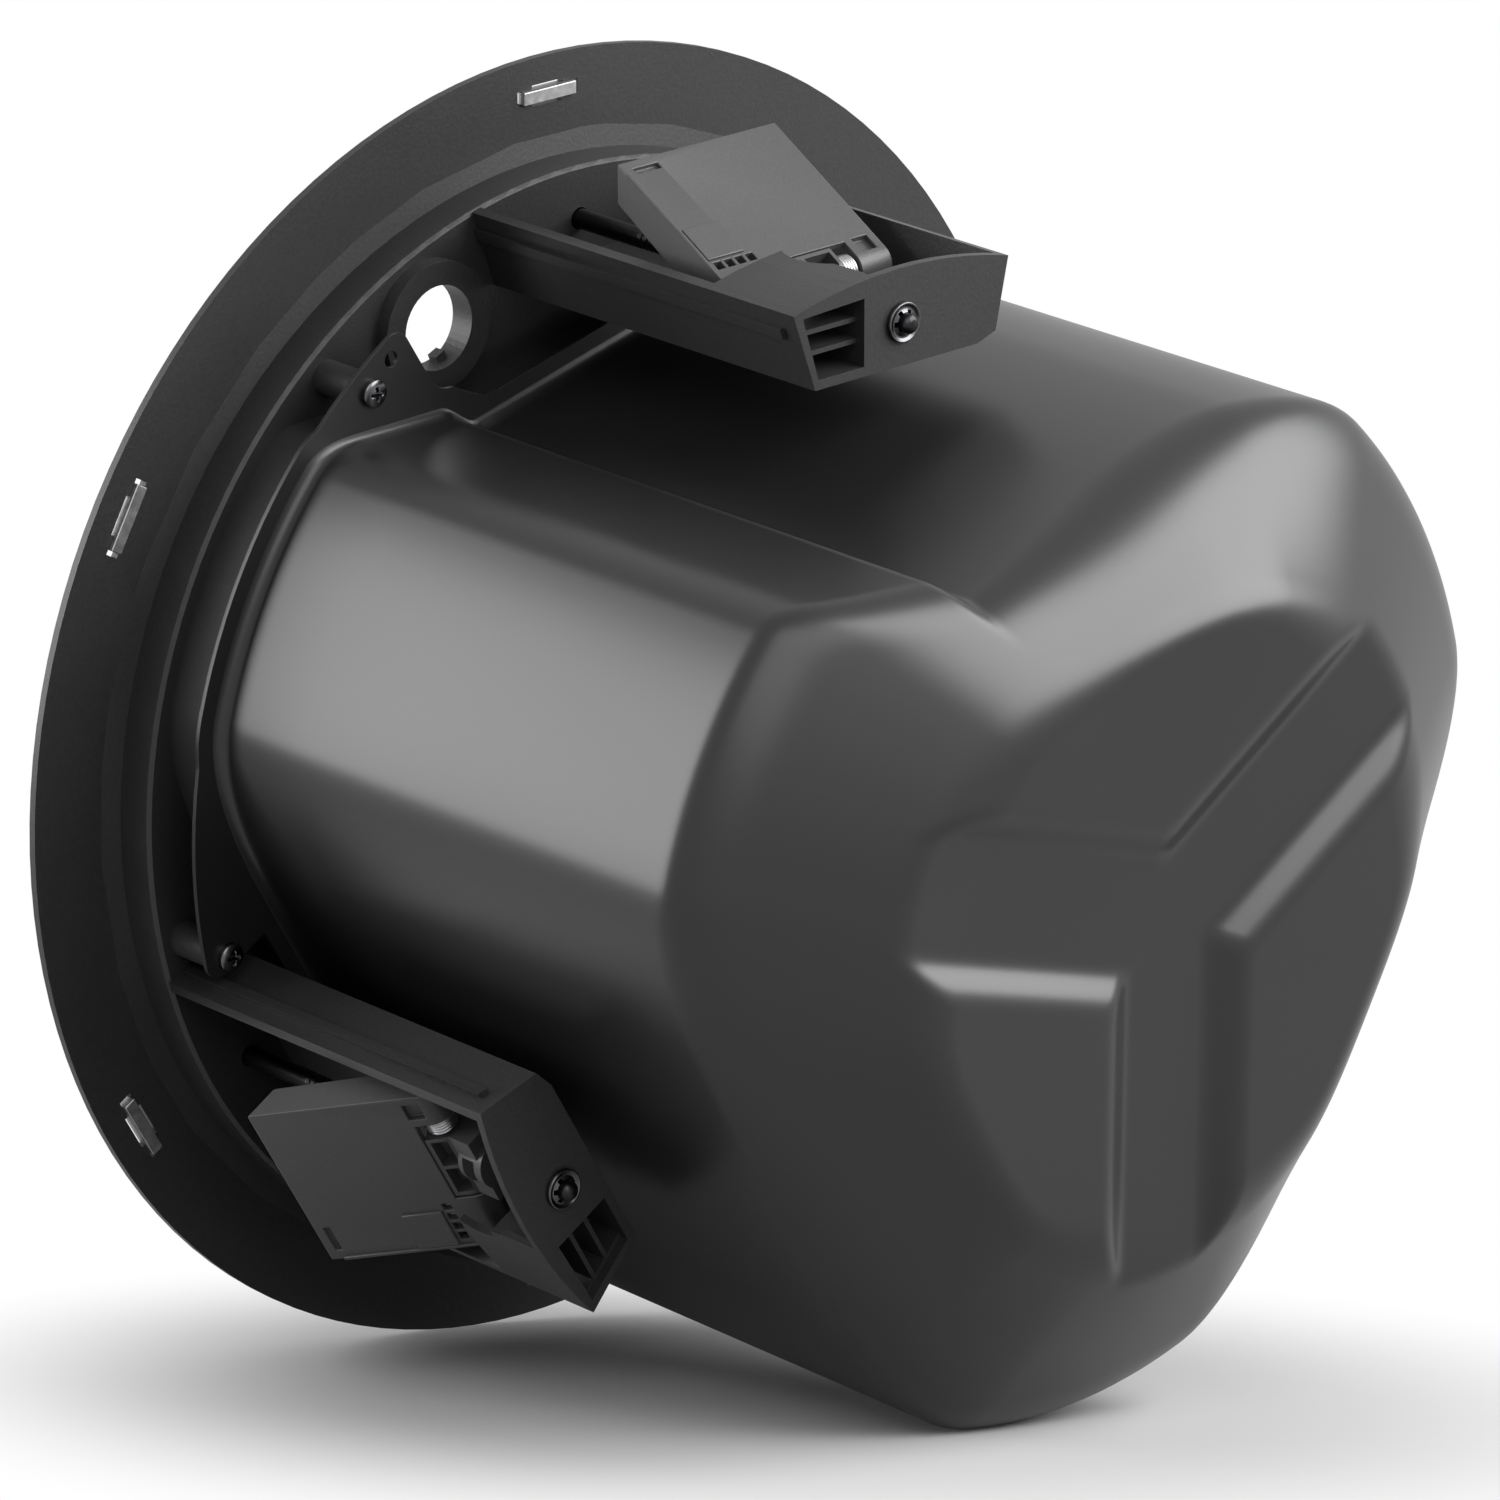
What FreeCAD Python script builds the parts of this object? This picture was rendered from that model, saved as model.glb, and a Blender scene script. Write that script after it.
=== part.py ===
import FreeCAD, Part
import math
import os

# Round in-ceiling loudspeaker. Origin: centre of the flange's room-side face. +Z points through the ceiling,
# towards the rear of the can. Tower A stands at +Y, towers B and C follow every 120 degrees. Millimetres.

V = FreeCAD.Vector
Z_AXIS = V(0, 0, 1)

# Flange, neck and shelf of the moulded baffle
flange_r = 165.0
flange_t = 3.0
flange_edge_r = 1.0
grille_rim = 4.0
grille_seat_r = flange_r - grille_rim
grille_seat_depth = 0.8
flange_width = 25.5
neck_r = flange_r - flange_width
flare_w = 5.5
flare_r = neck_r + flare_w
flare_rise = 0.9
neck_wall = 2.8
neck_chamfer = 0.9
shelf_rear_z = 14.5
shelf_t = 3.0
neck_top_z = shelf_rear_z - neck_chamfer

# Clamp towers: angles round the baffle and the section of one tower in its own frame
# (t runs anticlockwise round the speaker, r points away from its axis)
tower_count = 3
tower_first_angle = 90.0
tower_len = 112.5
tower_rear_z = shelf_rear_z + tower_len
tower_setback = 0.1
tower_outer_r = neck_r - tower_setback
tower_depth = 24.2
tower_inner_r = tower_outer_r - tower_depth
tower_half_t = 35.0
tower_lean_ccw = 7.0
tower_lean_cw = 4.0
tower_foot_ccw_t = tower_half_t - tower_lean_ccw
tower_foot_cw_t = tower_half_t - tower_lean_cw
tower_toe_cut = 6.0
tower_toe_t = tower_foot_cw_t - tower_toe_cut
tower_toe_rise = 2.0
tower_toe_r = tower_inner_r + tower_toe_rise
tower_wall = 2.2
tower_end_t = 2.2
rail_w = 2.8
rail_setback = 8.8
rail_high_r = tower_outer_r - rail_setback
rail_low_r = rail_high_r - rail_w
rail_proud = 1.3
rail_end_gap = 5.0
roof_len = 30.0
roof_front_z = tower_rear_z - roof_len
roof_inner_t = 9.0
roof_bay_r = 14.0
roof_t = 2.0
pocket_cw_t = 12.2
pocket_side = 3.0
pocket_ccw_t = tower_half_t - pocket_side
pocket_floor = 2.4
pocket_low_r = tower_inner_r + pocket_floor
pocket_cover = 5.8
pocket_high_r = tower_outer_r - pocket_cover
pocket_depth = 17.0
pocket_wall = 1.6
pocket_rib_t = 1.2

# Clamp screw, its washer and the running clearances of the clamp
screw_cover = 13.3
screw_pitch_r = tower_outer_r - screw_cover
screw_r = 2.5
screw_tip = 4.0
screw_head_r = 4.6
screw_head_h = 3.4
run_gap = 0.06
side_gap = 0.3
washer_r = 5.0
washer_t = 1.0

# Clamp carriage, nut and flap
hinge_drop = 33.7
hinge_z = tower_rear_z - hinge_drop
hinge_out = 1.9
hinge_r = screw_pitch_r + hinge_out
trunnion_r = 2.0
block_cw_t = -10.0
block_ccw_t = 9.6
block_front_len = 8.8
block_front_z = hinge_z - block_front_len
block_rear_len = 10.7
block_rear_z = hinge_z + block_rear_len
block_rise = 2.6
block_top_r = hinge_r + block_rise
barrel_rib_t = 1.1
barrel_pocket_depth = 4.0
barrel_pocket_rear = 1.2
nut_side = 8.0
nut_t = 4.0
nut_cover = 5.0
nut_z = block_rear_z - nut_cover
nut_boss_r = 6.4
flap_angle = 30.0
flap_side_cw = 6.1
flap_side_ccw = 1.6
flap_cw_t = flap_side_cw - tower_foot_cw_t
flap_ccw_t = tower_foot_ccw_t - flap_side_ccw
flap_reach = 36.3
flap_front_z = hinge_z - flap_reach
flap_tip_h = 9.7
knuckle_r = 4.8
knuckle_cw_t = -15.0
knuckle_ccw_t = 10.2
flap_skin = 2.0
flap_side = 1.8
flap_heel = 4.6
flap_rod_slot = 9.8
flap_pocket = 5.0
flap_pocket_depth = 1.6
flap_vents = 4
flap_vent_side = 2.3
flap_vent_pitch = 3.4
flap_corner_slot = (8.0, 1.8, 1.2)
spring_wire_r = 0.42
spring_coil_r = 3.6
spring_turns = 5
spring_leg = 4.0

# Grille magnets and their slots
magnet_count = 6
magnet_inset = 5.6
magnet_pitch_r = grille_seat_r - magnet_inset
magnet_first_angle = 30.0
magnet_len = 17.0
magnet_w = 3.4
magnet_h = 3.4
slot_len = 19.5
slot_mid_len = 10.0
slot_w = 5.4
slot_end_w = 3.6

# Cable entry
entry_angle = 114.2
entry_inset = 19.0
entry_pitch_r = neck_r - entry_inset
entry_r = 10.6
entry_ring_r = 16.5
entry_ring_h = 4.0
entry_ring_z = shelf_rear_z + entry_ring_h
entry_tab = 3.0

# Mounting plate of the can, its screws and gasket
plate_stand = 16.5
plate_top_z = shelf_rear_z + plate_stand
plate_t = 1.2
plate_setback = 0.5
plate_rim_r = neck_r - plate_setback
plate_band = 7.0
plate_tower_gap = 1.9
plate_entry_angle = 31.5
plate_corner_r = 4.0
plate_notch_r = 7.0
plate_hole_angle = 34.3
plate_hole_inset = 5.0
plate_hole_pitch_r = plate_rim_r - plate_hole_inset
plate_hole_r = 2.0
gasket_t = 1.4
can_seat_out = 2.0
can_seat_in = 1.0
entry_screw_angle = 38.2
can_screw_inset = 7.0
can_screw_pitch_r = plate_rim_r - can_screw_inset
plate_notch_t = tower_half_t + rail_proud + plate_tower_gap
can_screw_edge = 3.0282
can_screw_t = plate_notch_t + can_screw_edge
can_screw_angle = math.degrees(math.asin(can_screw_t / can_screw_pitch_r))
can_screw_r = 1.75
can_screw_head_r = 3.5
can_screw_head_h = 2.2
can_screw_len = 12.0
boss_r = 4.4

# Drawn back can: outline of its wall, of its rear plateau and the shoulder between them
can_len = 191.0
can_rear_z = plate_top_z + can_len
can_wall = 1.2
lobe_inset = 6.0
lobe_r = neck_r - lobe_inset
tower_gap = 1.2
flat_d = tower_inner_r - plate_band - tower_gap
scoop_angle = 103.7
scoop_depth = 11.0
scoop_d = flat_d - scoop_depth
side_angle = 90.0
side_depth = 14.5
side_d = flat_d - side_depth
step_angle = 45.0
step_d = 25.9
corner_soft = 17.0
scoop_soft = 7.0
plateau_inset = 54.0
plateau_r = lobe_r - plateau_inset
plateau_flat_inset = 31.5
plateau_flat_d = flat_d - plateau_flat_inset
plateau_scoop_inset = 22.7
plateau_scoop_d = scoop_d - plateau_scoop_inset
plateau_soft = 5.0
shoulder_h = 32.0
shoulder_soft = 12.0
outline_error = 0.12
outline_least = 4.0
straight_limit = 0.05
seam_angle = -12.0
shoulder_levels = 6
inside_levels = 3
rear_edge_r = 3.0

# Sunken Y in the rear of the can
y_angles = (31.5, 162.0, 269.5)
y_centre = (0.0, 1.5)
y_floor_half = 13.8
y_mouth_half = 21.5
y_depth = 5.0
y_edge_r = 2.5

# Woofer basket and its motor
basket_inset = 14.0
basket_dish_r = flat_d - basket_inset
rim_w = 11.0
rim_r = basket_dish_r + rim_w
rim_t = 1.6
rim_gasket_t = 0.8
basket_gap = 0.7
basket_dish = 5.0
basket_wall = 1.6
basket_neck_in = 9.8
basket_neck_r = basket_dish_r - basket_neck_in
motor_r = 50.0
spider_seat_w = 10.0
spider_seat_out = 1.0
spider_seat_out_r = motor_r + spider_seat_out
spider_seat_in_r = spider_seat_out_r - spider_seat_w
basket_floor_z = 78.0
basket_floor_in = 7.0
basket_floor_r = motor_r - basket_floor_in
basket_floor_t = 2.0
spider_seat_drop = 16.0
spider_seat_z = basket_floor_z - spider_seat_drop
basket_windows = 6
basket_spoke_deg = 18.0
woofer_screw_count = 8
woofer_screw_out = 6.2
woofer_screw_pitch_r = basket_dish_r + woofer_screw_out
woofer_screw_r = 1.75
woofer_screw_head_r = 3.4
woofer_screw_head_h = 2.2
woofer_screw_len = 13.0
top_plate_t = 6.0
ferrite_t = 16.0
ferrite_w = 17.0
ferrite_bore_r = motor_r - ferrite_w
back_plate_t = 6.0
pole_r = 18.2

# Moving parts of the woofer
coil_pole_gap = 0.6
coil_wall = 0.8
coil_plate_gap = 0.8
coil_in_r = pole_r + coil_pole_gap
coil_out_r = coil_in_r + coil_wall
air_gap_r = coil_out_r + coil_plate_gap
basket_hole_gap = 3.6
basket_hole_r = air_gap_r + basket_hole_gap
coil_front_len = 7.0
coil_front_z = spider_seat_z - coil_front_len
coil_rear_len = 10.0
coil_rear_z = basket_floor_z + coil_rear_len
cone_t = 0.9
cone_flare = 3.0
cone_neck_len = 3.4
cone_neck_z = spider_seat_z - cone_neck_len
surround_t = 0.8
surround_roll_r = 4.6
surround_lip = 3.4
surround_facets = 6
spider_t = 0.6
spider_waves = 3
spider_wave_h = 2.4

# Tweeter on its post
post_r = 8.0
tweeter_r = 22.0
tweeter_front_z = 9.0
tweeter_len = 22.0
tweeter_rear_z = tweeter_front_z + tweeter_len
tweeter_wall = 2.0
tweeter_lip = 4.0
tweeter_flare_r = tweeter_r - tweeter_lip
dome_r = 12.7
dome_rise = 4.2
dome_t = 0.5
dome_bands = 3
dome_ring_w = 2.7
dome_ring_r = dome_r + dome_ring_w
tweeter_magnet_in = 8.0
tweeter_magnet_r = tweeter_r - tweeter_magnet_in
tweeter_magnet_t = 7.0

# Crossover and terminal block
board_w = 84.0
board_h = 56.0
board_t = 1.6
standoff_r = 3.0
standoff_h = 6.0
standoff_peg_r = 1.5
standoff_peg_h = 1.4
board_hole_x = 34.0
board_hole_y = 21.0
coil_sizes = ((-26.0, 8.0, 13.0, 5.0, 16.0), (26.0, 8.0, 11.0, 4.5, 13.0))
capacitor_sizes = ((1.0, 13.0, 6.0), (1.0, -2.0, 6.0), (19.0, -17.0, 5.0), (-16.0, -17.0, 5.0))
capacitor_half_len = 12.0
terminal_angle = 150.0
terminal_inset = 20.5
terminal_pitch_r = neck_r - terminal_inset
terminal_w = 34.0
terminal_d = 16.0
terminal_h = 8.0
terminal_tail_w = 26.0
terminal_tail_d = 10.0
terminal_tail_len = 4.5
terminal_tail_z = shelf_rear_z + terminal_tail_len
terminal_ports = 4
terminal_port_r = 2.2
terminal_port_depth = 6.0
fit_gap = 0.3

# Places that follow from the sizes above
driver_opening_r = basket_dish_r + basket_gap
surround_seat_out_r = basket_dish_r - basket_wall - fit_gap
surround_seat_in_r = basket_neck_r + surround_t
surround_roll_in_r = surround_seat_in_r - 2 * surround_roll_r
cone_edge_r = surround_roll_in_r - surround_t / 2
shelf_front_z = shelf_rear_z - shelf_t
plate_under_z = plate_top_z - plate_t
can_seat_z = plate_under_z - gasket_t
rim_front_z = shelf_front_z - rim_gasket_t - rim_t
seat_front_z = rim_front_z + basket_dish
motor_front_z = basket_floor_z + basket_floor_t
ferrite_z = motor_front_z + top_plate_t
back_plate_z = ferrite_z + ferrite_t
motor_rear_z = back_plate_z + back_plate_t
cone_edge_z = seat_front_z
tower_angles = [tower_first_angle + i * 360.0 / tower_count for i in range(tower_count)]


def polar(radius, angle, z=0.0):
    """Point at a radius and an angle in degrees round the speaker's axis."""
    a = math.radians(angle)
    return V(radius * math.cos(a), radius * math.sin(a), z)


def cylinder(radius, z0, z1, centre=V(0, 0, 0)):
    """Upright cylinder between two heights."""
    return Part.makeCylinder(radius, z1 - z0, V(centre.x, centre.y, z0), Z_AXIS)


def ring(outer, inner, z0, z1, centre=V(0, 0, 0)):
    """Upright ring between two heights."""
    return cylinder(outer, z0, z1, centre).cut(cylinder(inner, z0, z1, centre))


def box(x0, x1, y0, y1, z0, z1):
    """Box between two corners."""
    return Part.makeBox(x1 - x0, y1 - y0, z1 - z0, V(x0, y0, z0))


def extrude_polygon(points, height):
    """Prism over a closed polygon."""
    wire = Part.makePolygon(points + [points[0]])
    return Part.Face(wire).extrude(height)


def revolve(profile):
    """Solid of revolution about the speaker's axis from (radius, height) pairs."""
    points = [V(r, 0, z) for r, z in profile]
    wire = Part.makePolygon(points + [points[0]])
    return Part.Face(wire).revolve(V(0, 0, 0), Z_AXIS, 360)


def turned(shape, angle):
    """Copy turned about the speaker's axis."""
    copy = shape.copy()
    copy.rotate(V(0, 0, 0), Z_AXIS, angle)
    return copy


def local(t, r, z):
    """Point in the frame of tower A: t anticlockwise, r outwards."""
    return V(-t, r, z)


def local_box(t0, t1, r0, r1, z0, z1):
    """Box in the frame of tower A."""
    return box(-t1, -t0, r0, r1, z0, z1)


def save(shape, name):
    """Write one piece to its own file."""
    shape.exportStep("parts/" + name + ".step")


def soft_min(a, b, k):
    """Smaller of two lengths, blended over k where they meet."""
    h = max(0.0, min(1.0, 0.5 + 0.5 * (b - a) / k))
    return b * (1 - h) + a * h - k * h * (1 - h)


def soft_max(a, b, k):
    """Larger of two lengths, blended over k where they meet."""
    return -soft_min(-a, -b, k)


def line_radius(distance, normal, angle):
    """Radius at an angle of the line that lies at a distance along its normal."""
    c = math.cos(math.radians(angle - normal))
    return distance / c if c > 0.05 else 20.0 * distance


def lobed_radius(angle, grow):
    """Three-lobed outline of the can before its scoop: a circle with a flat behind each tower."""
    r = lobe_r + grow
    for tower in tower_angles:
        r = soft_min(r, line_radius(flat_d + grow, tower, angle), corner_soft)
    return r


def wall_radius(angle, grow):
    """Can wall: the lobed outline with a scoop beside the cable entry."""
    scoop = line_radius(scoop_d + grow, scoop_angle, angle)
    side = line_radius(side_d + grow, side_angle, angle)
    step = line_radius(step_d + grow, step_angle, angle)
    beside = soft_min(side, step, scoop_soft)
    return soft_min(lobed_radius(angle, grow), soft_max(scoop, beside, scoop_soft), scoop_soft)


def plateau_radius(angle, grow):
    """Outline of the can's flat rear."""
    r = plateau_r + grow
    for tower in tower_angles:
        r = soft_min(r, line_radius(plateau_flat_d + grow, tower, angle), plateau_soft)
    return soft_min(r, line_radius(plateau_scoop_d + grow, scoop_angle, angle), plateau_soft)


def can_radius(angle, z, rear_z, grow):
    """Can surface at a height: the wall, then the shoulder that runs in to the plateau."""
    top = plateau_radius(angle, grow)
    slope = top + (lobed_radius(angle, grow) - top) * (rear_z - z) / shoulder_h
    return soft_min(wall_radius(angle, grow), slope, shoulder_soft)


def arc_error(start, end):
    """How far an arc through three wall points strays from the wall halfway to its middle."""
    p, q, r = [polar(wall_radius(a, 0.0), a) for a in (start, (start + end) / 2, end)]
    probe = (3 * start + end) / 4
    point = polar(wall_radius(probe, 0.0), probe)
    if (q - p).cross(r - q).Length < straight_limit:
        return point.distanceToLine(p, r - p)
    arc = Part.Arc(p, q, r).toShape().Curve
    return abs((point - arc.Center).Length - arc.Radius)


def outline_angles():
    """Angles that split the can's outline into few arcs that still follow it."""
    waiting = [(seam_angle + i * 360.0 / tower_count, seam_angle + (i + 1) * 360.0 / tower_count)
               for i in range(tower_count)]
    angles = []
    while waiting:
        start, end = waiting.pop()
        if end - start > outline_least and max(arc_error(start, end), arc_error(end, start)) > outline_error:
            waiting += [((start + end) / 2, end), (start, (start + end) / 2)]
        else:
            angles.append(start)
    return sorted(angles)


def closed_curve(radius_at, z):
    """Closed run of arcs at one height through radius_at(angle), with lines where the outline is straight."""
    starts = outline_angles()
    edges = []
    for a, b in zip(starts, starts[1:] + [starts[0] + 360.0]):
        p, q, r = [polar(radius_at(c), c, z) for c in (a, (a + b) / 2, b)]
        bend = (q - p).cross(r - q).Length
        edges.append(Part.Arc(p, q, r).toShape() if bend > straight_limit else Part.makeLine(p, r))
    return Part.Wire(edges)


def outline_prism(grow, z0, z1):
    """Prism over the can's wall outline, grown or shrunk."""
    wire = closed_curve(lambda a: wall_radius(a, grow), z0)
    return Part.Face(wire).extrude(V(0, 0, z1 - z0))


def can_body(front_z, rear_z, grow, levels, ruled):
    """Solid can: straight wall, then a loft over the shoulder and its rounded rear edge."""
    bend_z = rear_z - shoulder_h - 1.25 * shoulder_soft
    edge_z = rear_z - rear_edge_r
    step = (edge_z - bend_z) / (levels - 1)
    sections = [(bend_z + i * step, 0.0) for i in range(1, levels)]
    for p in (math.radians(45.0), math.radians(90.0)):
        sections.append((edge_z + rear_edge_r * math.sin(p), rear_edge_r * (1 - math.cos(p))))
    wires = [closed_curve(lambda a: wall_radius(a, grow), bend_z)]
    wires += [closed_curve(lambda a, z=z, i=i: can_radius(a, z, rear_z, grow) - i, z) for z, i in sections]
    return outline_prism(grow, front_z, bend_z).fuse(Part.makeLoft(wires, True, ruled))


def y_tool(floor_z, grow):
    """Tool for the sunken Y: three drafted channels that meet near the middle."""
    rise = 3.0 * y_depth
    spread = (y_mouth_half - y_floor_half) * rise / y_depth
    half0 = y_floor_half + grow
    half1 = half0 + spread
    reach = lobe_r
    arms = []
    for angle in y_angles:
        section = [V(0, -half0, 0), V(0, half0, 0), V(0, half1, rise), V(0, -half1, rise)]
        arm = extrude_polygon(section, V(reach, 0, 0))
        arm.rotate(V(0, 0, 0), Z_AXIS, angle)
        arms.append(arm)
    hub = Part.makeCone(half0, half1, rise)
    tool = arms[0].fuse([arms[1], arms[2], hub]).removeSplitter()
    tool = tool.makeFillet(y_edge_r, edges_at(tool, lambda c: c.z < 0.01))
    tool.translate(V(y_centre[0], y_centre[1], floor_z))
    return tool


def edges_at(shape, test):
    """Edges of a shape whose middle passes a test."""
    return [e for e in shape.Edges if test(e.CenterOfMass)]


def plate_blank():
    """Mounting plate of the can before its bore is cut."""
    rim = cylinder(plate_rim_r, plate_under_z, plate_top_z)
    low = flat_d / 2
    far = 2.0 * plate_rim_r
    for i in range(tower_count):
        notch = local_box(-plate_notch_t, plate_notch_t, low, far, plate_under_z, plate_top_z)
        rim = rim.cut(turned(notch, i * 360.0 / tower_count))
    slope = math.tan(math.radians(plate_entry_angle))
    entry_notch = [local(0, low, plate_under_z), local(0, far, plate_under_z),
                   local(far * slope, far, plate_under_z), local(low * slope, low, plate_under_z)]
    rim = rim.cut(extrude_polygon(entry_notch, V(0, 0, plate_t)))
    blank = rim.fuse(outline_prism(plate_band, plate_under_z, plate_top_z)).removeSplitter()
    corners = edges_at(blank, lambda c: abs(c.z - (plate_under_z + plate_top_z) / 2) < 0.01)
    tips = [e for e in corners if math.hypot(e.CenterOfMass.x, e.CenterOfMass.y) > plate_rim_r - 0.01]
    blank = blank.makeFillet(plate_corner_r, tips)
    root = edges_at(blank, lambda c: abs(c.z - (plate_under_z + plate_top_z) / 2) < 0.01
                    and abs(c.x + c.y * slope) < 0.01
                    and math.hypot(c.x, c.y) < plate_rim_r - 2 * plate_corner_r)
    return blank.makeFillet(plate_notch_r, root)


def back_can():
    """Drawn shell with its plate, sunken Y and screw holes."""
    outer = can_body(plate_under_z, can_rear_z, 0.0, shoulder_levels, False)
    outer = outer.cut(y_tool(can_rear_z - y_depth, 0.0))
    inner = can_body(plate_under_z, can_rear_z - can_wall, -can_wall, inside_levels, True)
    inner = inner.cut(y_tool(can_rear_z - y_depth - can_wall, can_wall))
    shell = outer.fuse(plate_blank()).cut(inner)
    for centre in can_screw_centres():
        shell = shell.cut(cylinder(can_screw_r + fit_gap, plate_under_z, plate_top_z, centre))
    spot = polar(plate_hole_pitch_r, tower_first_angle + plate_hole_angle)
    return shell.cut(cylinder(plate_hole_r, plate_under_z, plate_top_z, spot))


def can_screw_centres():
    """Axes of the screws that hold the can: one each side of a tower, moved out at the cable entry."""
    angles = [entry_screw_angle, -can_screw_angle]
    centres = [polar(can_screw_pitch_r, tower_first_angle + a) for a in angles]
    for tower in tower_angles[1:]:
        centres += [polar(can_screw_pitch_r, tower + can_screw_angle),
                    polar(can_screw_pitch_r, tower - can_screw_angle)]
    return centres


def tower_shell():
    """One clamp tower in the frame of tower A: an open channel with an end plate and a roof."""
    z0 = shelf_rear_z
    height = V(0, 0, tower_rear_z - z0)
    far = tower_outer_r + 10.0
    corner_r = math.sqrt(tower_outer_r ** 2 - tower_half_t ** 2)
    lean = (tower_half_t - tower_foot_ccw_t) / (corner_r - tower_inner_r)
    lean_cw = (tower_half_t - tower_foot_cw_t) / (corner_r - tower_toe_r)
    outer = [local(tower_foot_ccw_t, tower_inner_r, z0), local(-tower_toe_t, tower_inner_r, z0),
             local(-tower_foot_cw_t, tower_toe_r, z0),
             local(-tower_foot_cw_t - lean_cw * (far - tower_toe_r), far, z0),
             local(tower_foot_ccw_t + lean * (far - tower_inner_r), far, z0)]
    w = tower_wall
    inner = [local(tower_foot_ccw_t - w, tower_inner_r + w, z0),
             local(-tower_toe_t + w, tower_inner_r + w, z0),
             local(-tower_foot_cw_t + w, tower_toe_r + w, z0),
             local(-tower_foot_cw_t + w - lean_cw * (far - tower_toe_r - w), far, z0),
             local(tower_foot_ccw_t - w + lean * (far - tower_inner_r - w), far, z0)]
    round_off = cylinder(tower_outer_r, z0, tower_rear_z)
    block = extrude_polygon(outer, height).common(round_off)
    for side in (1, -1):
        edge = tower_half_t - w
        rail = local_box(min(side * edge, side * (edge + 6.0)), max(side * edge, side * (edge + 6.0)),
                         rail_low_r, rail_high_r, z0, tower_rear_z - rail_end_gap)
        block = block.fuse(rail.common(extrude_polygon(grown(outer, rail_proud), height)))
    channel = extrude_polygon(inner, V(0, 0, tower_rear_z - tower_end_t - z0))
    return block.cut(channel.cut(tower_fittings(z0)))


def grown(points, step):
    """Polygon of a tower's section with its side walls moved out."""
    return [V(p.x + math.copysign(step, p.x), p.y, p.z) for p in points]


def tower_fittings(z0):
    """What stays inside the channel: the roof over the pocket, the pocket's wall and its ribs."""
    roof_ring = ring(tower_outer_r, tower_outer_r - roof_t, roof_front_z, tower_rear_z)
    roof = roof_ring.common(local_box(roof_inner_t, tower_half_t + 5.0, tower_inner_r, tower_outer_r + 1.0,
                                      roof_front_z, tower_rear_z))
    bay = cylinder(roof_bay_r, 0, 2 * roof_bay_r)
    bay.rotate(V(0, 0, 0), V(1, 0, 0), 90)
    bay_t = roof_inner_t - roof_bay_r + 3.5
    bay.translate(local(bay_t, tower_outer_r + roof_bay_r, roof_front_z + roof_bay_r / 2))
    roof = roof.cut(bay)
    wall_z = tower_rear_z - tower_end_t - pocket_depth
    wall = local_box(pocket_cw_t - pocket_wall, pocket_cw_t, tower_inner_r, tower_outer_r - roof_t / 2,
                     wall_z, tower_rear_z)
    ribs = [local_box(pocket_cw_t - pocket_wall / 2, tower_half_t, r, r + pocket_rib_t, wall_z, tower_rear_z)
            for r in (pocket_low_r + (pocket_high_r - pocket_low_r) / 3.0,
                      pocket_low_r + (pocket_high_r - pocket_low_r) * 2.0 / 3.0)]
    return roof.fuse([wall] + ribs)


def tower_pocket():
    """Opening of the pocket through the end plate."""
    z1 = tower_rear_z - tower_end_t - 0.5
    slope = (pocket_ccw_t - tower_foot_ccw_t + tower_wall / 2)
    points = [local(pocket_cw_t, pocket_low_r, z1), local(pocket_ccw_t - slope, pocket_low_r, z1),
              local(pocket_ccw_t, pocket_high_r, z1), local(pocket_cw_t, pocket_high_r + 0.8, z1)]
    return extrude_polygon(points, V(0, 0, tower_end_t + 1.0))


def magnet_slot():
    """Slot for a grille magnet at angle zero: narrow ends grip the magnet, the middle is wider."""
    mid = box(magnet_pitch_r - slot_w / 2, magnet_pitch_r + slot_w / 2, -slot_mid_len / 2, slot_mid_len / 2,
              0, flange_t)
    ends = box(magnet_pitch_r - slot_end_w / 2, magnet_pitch_r + slot_end_w / 2, -slot_len / 2, slot_len / 2,
               0, flange_t)
    return mid.fuse(ends)


def baffle_disc():
    """Flange, neck and shelf as one turned form."""
    inner = neck_r - neck_wall
    return revolve([(driver_opening_r, shelf_front_z), (inner, shelf_front_z), (inner, grille_seat_depth),
                    (grille_seat_r, grille_seat_depth), (grille_seat_r, 0), (flange_r - flange_edge_r, 0),
                    (flange_r, flange_edge_r), (flange_r, flange_t), (flare_r, flange_t),
                    (neck_r, flange_t + flare_rise), (neck_r, neck_top_z), (neck_r - 0.9, shelf_rear_z),
                    (driver_opening_r, shelf_rear_z)])


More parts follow.
